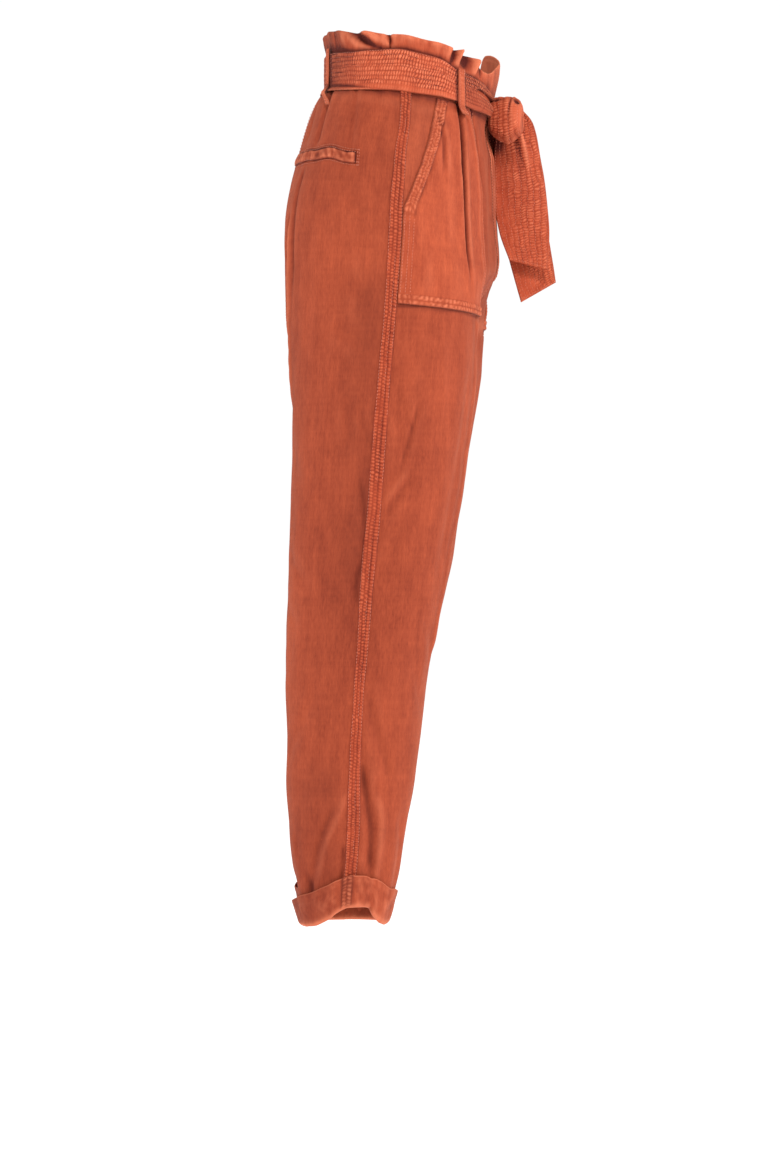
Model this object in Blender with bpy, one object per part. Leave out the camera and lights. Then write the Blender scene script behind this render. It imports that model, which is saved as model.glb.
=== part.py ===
"""Paperbag waist trousers with a tied belt, patch pockets, raised side seams and turned-up cuffs.

Frame: +Z up, the front faces -Y and the wearer's right side is at -X. The origin is the centre of
the waist at half the height of the belt. Sizes and tables are in millimetres; meshes are made in
metres. A level is the height of a row at Y = 0: rows near the waist lean forward and down with it.
"""

import math

import bpy
import numpy as np

MM = 0.001

# ---------------------------------------------------------------- driving dimensions
CLOTH = 1.6             # wall of a single panel
GAP = 0.3               # space left between two pieces that are sewn together
WAIST_LEAN = 0.21       # fall of the waist line per millimetre forward
LEAN_TOP, LEAN_END = -30.0, -265.0
FORK_LEVEL = -265.0     # where the four inner seams meet
FORK_Y = 15.0

BELT_HEIGHT = 43.0
BELT_THICK = 2.6
BELT_EASE = 0.5         # between the belt and the waist under it
BAND_BOTTOM = -14.0     # panels end here and the paperbag band begins
FRILL_BACK, FRILL_SIDE, FRILL_FRONT = 32.5, 36.0, 41.5     # height of the frill's top edge

LOOP_WIDTH = 8.5
LOOP_THICK = 1.3
POCKET_THICK = 1.1
SEAM_THICK = 1.2
SEAM_HALF_TOP, SEAM_HALF_HEM = 6.2, 4.4
WELT_HEIGHT = 13.0
WELT_THICK = 1.8
FLY_WIDTH = 32.0
FLY_THICK = 0.9

CUFF_HEIGHT = 31.5
HEM_LEVEL = -900.0      # fold of the cuff at the back and the front
HEM_ARCH = 22.0         # rise of that fold at the side seam
PANEL_ABOVE_FOLD = 13.0

# Half sections of the right side. side_x, seam_y: side seam. front_x, front_y and back_x, back_y:
# foremost and rearmost point. rise_x, front_rise_y and back_rise_y: centre seam, then inner leg
# seam. front_power and back_power: squareness of the outer quarters.
SECTION_COLUMNS = (
    "level", "side_x", "seam_y", "front_x", "front_y", "back_x", "back_y",
    "rise_x", "front_rise_y", "back_rise_y", "front_power", "back_power",
)
SECTIONS = (
    (60.0, -121.5, -6.0, 0.0, -101.0, 0.0, 79.0, 0.0, -101.0, 79.0, 2.05, 2.20),
    (0.0, -121.5, -6.0, 0.0, -101.0, 0.0, 79.0, 0.0, -101.0, 79.0, 2.05, 2.20),
    (-23.5, -121.2, -6.0, 0.0, -99.5, 0.0, 78.8, 0.0, -99.5, 78.8, 2.05, 2.20),
    (-32.0, -131.0, -6.0, 0.0, -98.5, 0.0, 86.5, 0.0, -98.5, 86.5, 2.00, 2.20),
    (-48.0, -139.5, -5.5, 0.0, -99.5, 0.0, 94.5, 0.0, -99.5, 94.5, 1.95, 2.20),
    (-67.0, -148.0, -3.5, 0.0, -101.0, 0.0, 101.0, 0.0, -101.0, 101.0, 1.90, 2.20),
    (-88.0, -156.5, -0.5, 0.0, -102.0, -4.0, 107.0, 0.0, -102.0, 106.5, 1.85, 2.20),
    (-108.0, -163.5, 1.0, 0.0, -102.5, -18.0, 112.5, 0.0, -102.5, 110.5, 1.80, 2.20),
    (-126.0, -169.0, 2.5, 0.0, -103.0, -34.0, 117.0, 0.0, -103.0, 113.5, 1.78, 2.20),
    (-145.0, -173.5, 4.0, 0.0, -104.0, -50.0, 120.5, 0.0, -104.0, 115.0, 1.76, 2.20),
    (-164.0, -177.0, 4.8, 0.0, -105.3, -64.0, 122.6, 0.0, -105.3, 113.5, 1.75, 2.20),
    (-182.0, -180.0, 5.5, -3.0, -106.3, -74.0, 123.0, 0.0, -106.0, 110.0, 1.75, 2.20),
    (-198.0, -182.0, 6.5, -18.0, -104.0, -81.0, 122.2, 0.0, -104.5, 104.5, 1.80, 2.20),
    (-215.0, -183.5, 7.5, -50.0, -94.0, -85.0, 121.6, 0.0, -96.0, 95.0, 1.95, 2.20),
    (-230.0, -184.5, 8.5, -76.0, -86.0, -88.0, 121.0, 0.0, -84.0, 82.0, 2.10, 2.20),
    (-243.0, -185.0, 9.3, -87.0, -83.0, -90.0, 120.6, 0.0, -68.0, 65.0, 2.20, 2.20),
    (-253.0, -185.2, 10.0, -91.0, -82.0, -91.5, 120.2, 0.0, -46.0, 47.0, 2.20, 2.20),
    (-260.0, -185.2, 10.6, -92.0, -81.4, -92.5, 120.0, 0.0, -22.0, 32.0, 2.20, 2.20),
    (-265.0, -185.0, 11.0, -92.5, -81.0, -93.0, 119.8, 0.0, FORK_Y, FORK_Y, 2.20, 2.20),
    (-290.0, -184.5, 13.3, -94.0, -80.0, -94.5, 117.4, -4.0, 17.0, 17.0, 2.20, 2.20),
    (-320.0, -183.0, 16.0, -94.5, -78.3, -95.0, 115.8, -6.0, 19.0, 19.0, 2.20, 2.20),
    (-360.0, -180.0, 19.5, -94.0, -74.2, -94.5, 114.8, -8.0, 21.0, 21.0, 2.20, 2.20),
    (-405.0, -176.5, 23.0, -93.0, -68.0, -93.5, 114.8, -10.5, 23.5, 23.5, 2.20, 2.20),
    (-450.0, -172.5, 26.0, -92.5, -62.3, -92.5, 116.2, -13.0, 27.0, 27.0, 2.20, 2.20),
    (-500.0, -168.0, 31.0, -91.5, -53.5, -91.5, 117.8, -15.0, 32.0, 32.0, 2.20, 2.20),
    (-550.0, -163.0, 35.5, -90.0, -45.0, -90.0, 119.0, -17.5, 37.0, 37.0, 2.20, 2.20),
    (-600.0, -158.5, 39.0, -88.5, -36.5, -88.5, 120.8, -20.0, 41.0, 41.0, 2.20, 2.20),
    (-650.0, -154.0, 43.0, -88.0, -27.5, -88.0, 121.5, -23.0, 45.0, 45.0, 2.20, 2.20),
    (-700.0, -150.0, 46.0, -88.0, -22.0, -88.0, 119.4, -26.0, 48.5, 48.5, 2.20, 2.20),
    (-750.0, -146.5, 48.0, -88.0, -15.5, -88.0, 120.6, -29.5, 51.0, 51.0, 2.20, 2.20),
    (-800.0, -143.0, 49.0, -88.0, -6.5, -88.0, 118.0, -33.0, 54.0, 54.0, 2.20, 2.20),
    (-850.0, -139.0, 51.0, -87.5, 2.5, -87.5, 113.0, -36.0, 57.0, 57.0, 2.15, 2.15),
    (-875.0, -136.0, 53.0, -87.5, 8.5, -87.5, 108.5, -39.0, 58.0, 58.0, 2.10, 2.10),
    (-905.0, -133.0, 55.0, -87.5, 18.0, -87.5, 101.5, -42.0, 59.0, 59.0, 2.10, 2.10),
)

# How far the left leg stands in front of the right one.
STRIDE_COLUMNS = ("level", "forward")
STRIDE = (
    (60.0, 0.0), (-180.0, 0.0), (-215.0, 6.0), (-240.0, 12.0), (-290.0, 12.0), (-330.0, 9.0),
    (-400.0, 6.0), (-460.0, 6.0), (-510.0, 7.5), (-575.0, 4.0), (-650.0, 0.5), (-800.0, -0.5),
    (-860.0, -2.0), (-905.0, -2.5),
)

# Lines that the columns of a front panel follow, as arc lengths from the side seam:
# mouth of the pocket and then its seam-side edge, first pleat, pocket edge, second pleat.
FRONT_LINE_COLUMNS = ("level", "mouth", "pleat", "pocket_edge", "second_pleat")
FRONT_LINES = (
    (60.0, 33.0, 60.0, 104.0, 124.0),
    (-14.0, 33.0, 60.0, 104.0, 124.0),
    (-50.0, 29.0, 68.0, 116.0, 138.0),
    (-88.0, 24.7, 76.0, 127.0, 150.0),
    (-118.0, 17.0, 82.0, 133.0, 157.0),
    (-140.0, 10.5, 86.0, 136.0, 161.0),
    (-152.0, 7.6, 88.0, 137.5, 163.0),
    (-200.0, 7.4, 93.0, 141.0, 170.0),
    (-265.0, 7.2, 95.0, 148.0, 186.0),
    (-360.0, 6.8, 93.0, 144.0, 176.0),
    (-450.0, 6.4, 86.0, 134.0, 163.0),
    (-550.0, 6.0, 76.0, 120.0, 147.0),
    (-650.0, 5.6, 70.0, 110.0, 135.0),
    (-750.0, 5.4, 62.0, 97.0, 119.0),
    (-850.0, 5.2, 48.0, 78.0, 96.0),
    (-905.0, 5.0, 38.0, 63.0, 78.0),
)

# Folds of the panels. at_top and at_end: arc length from the side seam where the fold begins and
# ends. depth: below zero for a trough. fade_in, fade_out: lengths over which it comes and goes.
FOLD_COLUMNS = ("face", "top", "end", "at_top", "at_end", "half_width", "depth", "fade_in", "fade_out")
FOLDS = (
    ("front", 10.0, -235.0, 57.0, 96.0, 4.2, -5.0, 40.0, 110.0),      # first pleat
    ("front", 10.0, -170.0, 120.0, 166.0, 6.5, -4.5, 40.0, 100.0),    # second pleat
    ("front", -30.0, -250.0, 78.0, 112.0, 9.0, 2.6, 60.0, 120.0),     # ridge between the pleats
    ("front", -50.0, -110.0, 47.0, 62.0, 5.5, -1.6, 25.0, 40.0),
    ("front", -330.0, -440.0, 14.0, 34.0, 9.0, -2.2, 50.0, 50.0),     # drag folds at the thigh
    ("front", -400.0, -505.0, 12.0, 46.0, 9.0, -2.0, 50.0, 50.0),
    ("front", -700.0, -880.0, -4.0, -16.0, 9.0, -2.0, 60.0, 40.0),
    ("front", -715.0, -875.0, 14.0, 20.0, 7.0, -4.2, 60.0, 50.0),     # fold in front of the seam
    ("front", -725.0, -860.0, 30.0, 36.0, 8.0, 2.6, 60.0, 50.0),
    ("back", -15.0, -95.0, 22.0, 34.0, 6.5, -2.4, 10.0, 60.0),        # gathers under the belt
    ("back", -15.0, -85.0, 52.0, 58.0, 7.0, -2.2, 10.0, 50.0),
    ("back", -15.0, -105.0, 84.0, 104.0, 7.5, -3.0, 10.0, 70.0),
    ("back", -15.0, -90.0, 112.0, 128.0, 7.5, -2.4, 10.0, 60.0),
    ("back", -130.0, -240.0, 42.0, 26.0, 16.0, -2.4, 50.0, 60.0),     # soft hollows at the hip
    ("back", -250.0, -330.0, 36.0, 22.0, 15.0, -2.2, 40.0, 50.0),
    ("back", -340.0, -420.0, 30.0, 22.0, 11.0, -2.4, 40.0, 50.0),
    ("back", -400.0, -560.0, 10.0, 12.0, 9.0, -2.2, 60.0, 60.0),
    ("back", -740.0, -870.0, 26.0, 52.0, 10.0, -3.0, 60.0, 60.0),     # fold running to the heel
    ("back", -760.0, -880.0, 44.0, 66.0, 9.0, 2.4, 60.0, 50.0),
)

PANEL_LEVELS = (
    BAND_BOTTOM, -22.0, -32.0, -48.0, -70.0, -95.0, -120.0, -148.0, -175.0, -198.0, -215.0,
    -230.0, -243.0, -253.0, -260.0, -264.0, -266.5, -276.0, -300.0, -330.0, -365.0, -405.0,
    -450.0, -500.0, -550.0, -600.0, -650.0, -700.0, -745.0, -785.0, -820.0, -852.0,
    HEM_LEVEL + PANEL_ABOVE_FOLD,
)
BACK_COUNT = 13         # spaces across a back panel

# Waves of the paperbag frill. at: place round the waist as a part of the half, 0 at the centre
# back and 1 at the centre front. out: how far the top edge stands out. half_width: in parts.
FRILL_COLUMNS = ("at", "half_width", "out", "lift")
FRILL_RIGHT = (
    (0.03, 0.030, 3.0, 1.0), (0.10, 0.026, -2.6, -1.0), (0.17, 0.030, 3.2, 1.0),
    (0.245, 0.026, -4.4, -2.2), (0.31, 0.030, 4.2, 1.4), (0.385, 0.022, -3.4, -1.6),
    (0.45, 0.034, 2.6, 0.6), (0.53, 0.030, -2.0, -0.6), (0.60, 0.030, 2.4, 0.6),
    (0.675, 0.024, -3.0, -1.2), (0.735, 0.026, 4.0, 1.2), (0.795, 0.020, -5.5, -2.4),
    (0.850, 0.022, 5.5, 1.2), (0.905, 0.020, -6.0, -3.0), (0.965, 0.026, 3.0, 0.0),
)
FRILL_LEFT = (
    (0.04, 0.030, -2.8, -1.0), (0.115, 0.028, 3.4, 1.0), (0.19, 0.026, -3.8, -1.8),
    (0.26, 0.030, 3.4, 1.0), (0.335, 0.026, -3.0, -1.2), (0.41, 0.032, 3.0, 0.8),
    (0.49, 0.030, -2.4, -0.8), (0.565, 0.030, 3.2, 0.8), (0.64, 0.026, -4.0, -1.6),
    (0.71, 0.028, 4.4, 1.2), (0.78, 0.022, -5.0, -2.0), (0.84, 0.024, 5.0, 1.0),
    (0.90, 0.022, -4.0, -1.0), (0.975, 0.034, 9.5, -6.0),
)
FRILL_COUNT = 34        # spaces round each half
FRILL_RIGHT_END, FRILL_LEFT_END = 9.0, 3.0     # how far each end leans back from the centre front

# Rings of the knot. It is a band wound upright round the crossed ends, so the rings follow one
# another from the waist forward. depth: distance from the belt. centre_z, half_z: its height there.
KNOT_COLUMNS = ("depth", "shift_x", "centre_z", "half_x", "half_z")
KNOT = (
    (0.0, 0.0, -41.0, 8.0, 13.0),
    (1.2, 0.0, -41.0, 14.0, 21.0),
    (4.5, 0.0, -40.5, 18.6, 26.0),
    (10.0, -0.3, -40.0, 20.4, 28.2),
    (16.0, -0.6, -39.2, 20.8, 28.6),
    (22.0, -0.4, -38.0, 19.8, 27.2),
    (26.5, 0.0, -36.4, 17.2, 24.4),
    (29.0, 0.4, -35.0, 13.0, 19.5),
    (29.8, 0.8, -34.0, 7.0, 12.0),
)
KNOT_X, KNOT_BACK_Y = -27.0, -102.6
KNOT_SIDES = 24
KNOT_TURN = -11.0       # degrees, so that its back follows the belt
KNOT_GROOVE = 0.055     # two furrows along the band, as a part of its radius

# The two tails of the belt, from the knot down: both edges of each row and the place across.
TAIL_COLUMNS = ("inner_y", "inner_z", "outer_y", "outer_z", "x", "cup")
TAIL_NEAR = (
    (-119.0, -24.0, -133.0, -27.0, -8.6, 0.0),
    (-112.0, -40.0, -143.0, -38.5, -7.1, 0.0),
    (-109.5, -56.0, -147.7, -53.0, -8.8, 0.8),
    (-107.5, -80.0, -152.0, -78.0, -10.4, 2.6),
    (-107.0, -105.0, -156.5, -104.0, -12.0, 3.2),
    (-107.5, -132.0, -159.5, -132.0, -16.0, 2.0),
    (-110.0, -160.0, -161.4, -162.0, -19.0, 0.8),
    (-118.4, -190.5, -159.2, -201.3, -21.0, 0.0),
)
TAIL_FAR = (
    (-119.0, -26.0, -131.0, -28.0, -5.7, 0.0),
    (-112.5, -44.0, -141.0, -41.0, -3.6, 0.0),
    (-109.5, -70.0, -147.0, -66.0, -1.0, 1.2),
    (-109.0, -105.0, -152.0, -102.0, 0.0, 2.5),
    (-111.0, -145.0, -157.0, -140.0, -4.0, 2.0),
    (-116.5, -182.0, -163.0, -176.0, -8.0, 1.0),
    (-124.0, -210.0, -167.0, -200.0, -10.0, 0.5),
    (-131.0, -235.0, -168.8, -213.3, -11.0, 0.0),
)
TAIL_THICK = 2.2
TAIL_COUNT = 5          # spaces across a tail

# Places of the loops, as parts of a half waist from the centre back, and their ends.
LOOP_COLUMNS = ("name", "part", "top", "bottom", "dip")
LOOPS = (("loop_front_", 0.690, 20.0, -30.0, 8.0), ("loop_back_", 0.150, 22.0, -36.0, 11.5))

CLOTH_COLOUR = (0.50, 0.115, 0.055, 1.0)
EDGE_COLOUR = (0.55, 0.14, 0.07, 1.0)
BELT_COLOUR = (0.58, 0.15, 0.075, 1.0)


# ---------------------------------------------------------------- tables
def column(table, columns, name):
    return np.array([row[columns.index(name)] for row in table], float)


def smooth_at(wanted, places, values):
    """Monotone cubic through a table whose places may rise or fall."""
    places, values = np.asarray(places, float), np.asarray(values, float)
    if places[0] > places[-1]:
        places, values = places[::-1], values[::-1]
    step = np.diff(places)
    rise = np.diff(values) / step
    slope = np.zeros_like(values)
    slope[0], slope[-1] = rise[0], rise[-1]
    same_way = rise[:-1] * rise[1:] > 0
    early, late = 2 * step[1:] + step[:-1], step[1:] + 2 * step[:-1]
    safe_left = np.where(same_way, rise[:-1], 1.0)
    safe_right = np.where(same_way, rise[1:], 1.0)
    mean = (early + late) / (early / safe_left + late / safe_right)
    slope[1:-1] = np.where(same_way, mean, 0.0)
    wanted = np.clip(np.asarray(wanted, float), places[0], places[-1])
    i = np.clip(np.searchsorted(places, wanted, side="right") - 1, 0, len(step) - 1)
    t = (wanted - places[i]) / step[i]
    return (
        (1 + 2 * t) * (1 - t) ** 2 * values[i]
        + t * (1 - t) ** 2 * step[i] * slope[i]
        + t * t * (3 - 2 * t) * values[i + 1]
        + t * t * (t - 1) * step[i] * slope[i + 1]
    )


def ease(value):
    value = np.clip(value, 0.0, 1.0)
    return value * value * (3 - 2 * value)


SECTION_LEVELS = column(SECTIONS, SECTION_COLUMNS, "level")


def section_size(level, name):
    return float(smooth_at(level, SECTION_LEVELS, column(SECTIONS, SECTION_COLUMNS, name)))


# ---------------------------------------------------------------- form of the trousers
def row_curve(level, face):
    """Points (x, y) of a half section of the right side, from the side seam to the inner seam."""
    side = np.array([section_size(level, "side_x"), section_size(level, "seam_y")])
    crest = np.array([section_size(level, face + "_x"), section_size(level, face + "_y")])
    rise = face + "_rise_y" if level > FORK_LEVEL else "back_rise_y"
    inner = np.array([section_size(level, "rise_x"), section_size(level, rise)])
    power = section_size(level, face + "_power")
    inner_power = 1.45 + 0.6 * ease((-235.0 - level) / 30.0)
    turn = np.linspace(0.0, math.pi / 2, 60)
    falling, rising = np.maximum(np.cos(turn), 0.0), np.sin(turn)
    outer_x = crest[0] + (side[0] - crest[0]) * falling ** (2 / power)
    outer_y = side[1] + (crest[1] - side[1]) * rising ** (2 / power)
    inner_x = crest[0] + (inner[0] - crest[0]) * rising ** (2 / inner_power)
    inner_y = inner[1] + (crest[1] - inner[1]) * falling ** (2 / inner_power)
    x = np.concatenate([outer_x, inner_x[1:]])
    y = np.concatenate([outer_y, inner_y[1:]])
    along = np.concatenate([[0.0], np.cumsum(np.hypot(np.diff(x), np.diff(y)))])
    return x, y, along


def lean(level):
    return WAIST_LEAN * (1 - ease((LEAN_TOP - level) / (LEAN_TOP - LEAN_END)))


def arch(arc, face):
    """Rise of the hem round the leg, highest just in front of the side seam."""
    signed = arc if face == "front" else -arc
    before = ease((signed + 46.0) / 34.0)
    after = ease((50.0 - signed) / 26.0)
    return HEM_ARCH * before * after


def base_points(level, face, arc):
    x, y, along = row_curve(level, face)
    arc = np.clip(arc, 0.0, along[-1])
    px, py = np.interp(arc, along, x), np.interp(arc, along, y)
    low = ease((-770.0 - level) / 90.0)
    pz = level + lean(level) * py + low * arch(arc, face)
    return np.stack([px, py, pz], axis=-1)


def row_length(level, face):
    return row_curve(level, face)[2][-1]


def base_normals(level, face, arc):
    """Outward directions, with those on a seam the same for both panels that meet there."""
    total = row_length(level, face)
    above, below = row_length(level + 2.0, face), row_length(level - 2.0, face)
    ahead = base_points(level, face, np.minimum(arc + 1.5, total))
    behind = base_points(level, face, np.maximum(arc - 1.5, 0.0))
    along = ahead - behind
    share = arc / total
    up = base_points(level + 2.0, face, share * above) - base_points(level - 2.0, face, share * below)
    seam = (arc < 0.01) | ((arc > total - 0.01) & (level < FORK_LEVEL - 1.0))
    way = 1.0 if face == "front" else -1.0
    for i in np.nonzero(seam)[0]:
        ahead_y = -way if arc[i] < 0.01 else way
        along[i] = (0.0, ahead_y, ahead_y * lean(level))
    normal = np.cross(along, up) * way
    middle = (arc > total - 0.01) & (level >= FORK_LEVEL - 1.0)
    normal[middle] = np.stack([0 * up[middle, 0], -up[middle, 2], up[middle, 1]], axis=-1) * way
    return normal / np.linalg.norm(normal, axis=-1, keepdims=True)


def fold_offset(level, face, arc):
    """Sum of the folds, outward, at arc lengths of one row."""
    total = np.zeros_like(arc)
    for row in FOLDS:
        fold = dict(zip(FOLD_COLUMNS, row))
        if fold["face"] != face or not fold["end"] <= level <= fold["top"]:
            continue
        done = (fold["top"] - level) / (fold["top"] - fold["end"])
        centre = fold["at_top"] + (fold["at_end"] - fold["at_top"]) * done
        strength = ease((fold["top"] - level) / fold["fade_in"])
        strength = strength * ease((level - fold["end"]) / fold["fade_out"])
        away = (arc - centre) / fold["half_width"]
        total += fold["depth"] * strength * np.exp(-away * away)
    under_belt = 1 - ease((-20.0 - level) / 12.0)
    on_seam = ease(arc / 8.0)
    return total * (1 - under_belt) * on_seam


def to_side(points, level, side):
    """Right-hand points as they are, or mirrored to the left leg and moved forward by the stride."""
    if side == "right":
        return points
    moved = points * np.array([-1.0, 1.0, 1.0])
    forward = float(smooth_at(level, column(STRIDE, STRIDE_COLUMNS, "level"),
                              column(STRIDE, STRIDE_COLUMNS, "forward")))
    free = float(ease((FORK_LEVEL - level) / 55.0))
    share = free + (1 - free) * ease(np.abs(points[..., 0]) / 75.0)
    moved[..., 1] -= forward * share
    return moved


def front_arcs(level):
    """Arc lengths of the columns of a front panel, gathered at the pleats and the pocket's edges."""
    levels = column(FRONT_LINES, FRONT_LINE_COLUMNS, "level")
    mouth, pleat, edge, second = (
        float(smooth_at(level, levels, column(FRONT_LINES, FRONT_LINE_COLUMNS, name)))
        for name in ("mouth", "pleat", "pocket_edge", "second_pleat")
    )
    total = row_length(level, "front")
    step = 4.4 + 2.0 * float(ease((-200.0 - level) / 100.0))
    step *= min(1.0, total / 230.0)
    return np.concatenate([
        [0.0, mouth],
        np.linspace(mouth, pleat - 2 * step, 4)[1:],
        pleat + step * np.arange(-1, 3),
        np.linspace(pleat + 2 * step, edge, 3)[1:],
        [second - 1.4 * step, second, second + 1.4 * step],
        np.linspace(second + 1.4 * step, total, 4)[1:],
    ])


MOUTH_COLUMN, POCKET_EDGE_COLUMN = 1, 10


def panel_arcs(level, face):
    if face == "front":
        return front_arcs(level)
    return np.linspace(0.0, 1.0, BACK_COUNT + 1) * row_length(level, "back")


def panel_grid(side, face):
    """Outer points, outward directions and arc lengths of a panel, a row for each level."""
    points, normals, arcs = [], [], []
    for level in PANEL_LEVELS:
        arc = panel_arcs(level, face)
        normal = base_normals(level, face, arc)
        outer = base_points(level, face, arc) + normal * fold_offset(level, face, arc)[:, None]
        at_middle = level >= FORK_LEVEL - 2.0
        if at_middle:
            outer[-1, 0] = -GAP / 2
        outer[0, 1] += (-GAP / 2) if face == "front" else (GAP / 2)
        if not at_middle:
            outer[-1, 1] += (-GAP / 2) if face == "front" else (GAP / 2)
        elif level < FORK_LEVEL + 2.0:
            outer[-1, 1] = FORK_Y + (-0.6 if face == "front" else 0.6)
        outer = to_side(outer, level, side)
        normal = normal * np.array([1.0 if side == "right" else -1.0, 1.0, 1.0])
        points.append(outer)
        normals.append(normal)
        arcs.append(arc)
    return np.array(points), np.array(normals), np.array(arcs)


# ---------------------------------------------------------------- meshes
def material(name, colour, roughness):
    found = bpy.data.materials.get(name)
    if found:
        return found
    made = bpy.data.materials.new(name)
    made.use_nodes = True
    shader = made.node_tree.nodes["Principled BSDF"]
    shader.inputs["Base Color"].default_value = colour
    shader.inputs["Roughness"].default_value = roughness
    shader.inputs["Metallic"].default_value = 0.0
    made.diffuse_color = colour
    return made


def add_object(name, points, faces, colour=CLOTH_COLOUR):
    mesh = bpy.data.meshes.new(name)
    mesh.from_pydata([tuple(p * MM) for p in points], [], faces)
    mesh.validate()
    volume = 0.0
    mesh.calc_loop_triangles()
    corners = np.array([v.co for v in mesh.vertices])
    for triangle in mesh.loop_triangles:
        a, b, c = corners[list(triangle.vertices)]
        volume += np.dot(a, np.cross(b, c))
    if volume < 0:
        mesh.flip_normals()
    mesh.shade_smooth()
    mesh.set_sharp_from_angle(angle=math.radians(50))
    made = bpy.data.objects.new(name, mesh)
    made.data.materials.append(material(name + "_cloth", colour, 0.85))
    made.modifiers.new("same_diagonals", "TRIANGULATE").quad_method = "FIXED"
    bpy.data.collections[COLLECTION].objects.link(made)
    return made


def wall(name, outer, inner, colour=CLOTH_COLOUR, closed=False):
    """A cloth wall between two grids of points; closed joins the last column to the first."""
    rows, columns = outer.shape[:2]
    points = np.concatenate([outer.reshape(-1, 3), inner.reshape(-1, 3)])
    shift = rows * columns
    last = columns if closed else columns - 1
    faces = []
    for r in range(rows - 1):
        for c in range(last):
            d = (c + 1) % columns
            a, b, e, f = r * columns + c, r * columns + d, (r + 1) * columns + d, (r + 1) * columns + c
            faces.append((a, b, e, f))
            faces.append((shift + a, shift + f, shift + e, shift + b))
    for c in range(last):
        d = (c + 1) % columns
        low = (rows - 1) * columns
        faces.append((d, c, shift + c, shift + d))
        faces.append((low + c, low + d, shift + low + d, shift + low + c))
    if not closed:
        for r in range(rows - 1):
            a, b = r * columns, (r + 1) * columns
            faces.append((a, b, shift + b, shift + a))
            a, b = a + columns - 1, b + columns - 1
            faces.append((b, a, shift + a, shift + b))
    return add_object(name, points, faces, colour)


def swept_ring(name, profiles, colour=CLOTH_COLOUR):
    """A ring whose closed profile has a place for each column."""
    count, corners = profiles.shape[:2]
    faces = []
    for i in range(count):
        j = (i + 1) % count
        for k in range(corners):
            m = (k + 1) % corners
            faces.append((i * corners + k, j * corners + k, j * corners + m, i * corners + m))
    return add_object(name, profiles.reshape(-1, 3), faces, colour)


def unit(vectors):
    return vectors / np.linalg.norm(vectors, axis=-1, keepdims=True)


def between(grid, row, col):
    """A place inside a grid, at a row and a column that need not be whole."""
    rows, columns = grid.shape[:2]
    r = min(max(int(math.floor(row)), 0), rows - 2)
    c = min(max(int(math.floor(col)), 0), columns - 2)
    t, u = row - r, col - c
    top = grid[r, c] * (1 - u) + grid[r, c + 1] * u
    bottom = grid[r + 1, c] * (1 - u) + grid[r + 1, c + 1] * u
    return top * (1 - t) + bottom * t


def on_panel(panel, rows, columns, lift, thick):
    """Outer and inner grids of a piece that lies on a panel. rows and columns are index grids."""
    points, normals = panel[0], panel[1]
    place = np.array([[between(points, r, c) for r, c in zip(rr, cc)] for rr, cc in zip(rows, columns)])
    out = unit(np.array([[between(normals, r, c) for r, c in zip(rr, cc)] for rr, cc in zip(rows, columns)]))
    return place + out * (lift + thick), place + out * lift


def level_row(level):
    levels = np.array(PANEL_LEVELS)
    return float(np.interp(-level, -levels, np.arange(len(levels))))


def arc_column(panel, row, arc):
    arcs = panel[2]
    low = min(int(math.floor(row)), len(arcs) - 2)
    here = arcs[low] * (1 - (row - low)) + arcs[low + 1] * (row - low)
    return float(np.interp(arc, here, np.arange(len(here))))


# ---------------------------------------------------------------- leg panels
def make_panel(side, face):
    grid = panel_grid(side, face)
    points, normals, _ = grid
    inner = points - normals * CLOTH
    if side == "right":
        inner[..., 0] = np.where(points[..., 0] > -0.5, np.minimum(inner[..., 0], -GAP / 2), inner[..., 0])
    else:
        inner[..., 0] = np.where(points[..., 0] < 0.5, np.maximum(inner[..., 0], GAP / 2), inner[..., 0])
    wall(face + "_" + side, points, inner)
    return grid


# ---------------------------------------------------------------- waist, frill and belt
def waist_ring(height, part, side, out):
    """Points of the waist at parts of a half, 0 at the centre back and 1 at the centre front."""
    back, front = row_length(height, "back"), row_length(height, "front")
    total = back + front
    arc = part * total
    result = np.zeros((len(part), 3))
    is_back = arc <= back
    for face, chosen in (("back", is_back), ("front", ~is_back)):
        if not chosen.any():
            continue
        from_seam = back - arc[chosen] if face == "back" else arc[chosen] - back
        normal = base_normals(height, face, from_seam)
        offset = out if np.isscalar(out) else out[chosen]
        here = base_points(height, face, from_seam)
        result[chosen] = here + normal * np.reshape(offset, (-1, 1))
    if side == "left":
        result[:, 0] *= -1
    return result


def frill_waves(part, waves):
    out, lift = np.zeros_like(part), np.zeros_like(part)
    for row in waves:
        wave = dict(zip(FRILL_COLUMNS, row))
        shape = np.exp(-((part - wave["at"]) / wave["half_width"]) ** 2)
        out += wave["out"] * shape
        lift += wave["lift"] * shape
    return out, lift


FRILL_ROWS = (0.0, 0.34, 0.655, 0.74, 0.83, 0.91, 1.0)      # parts of the band's height


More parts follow.
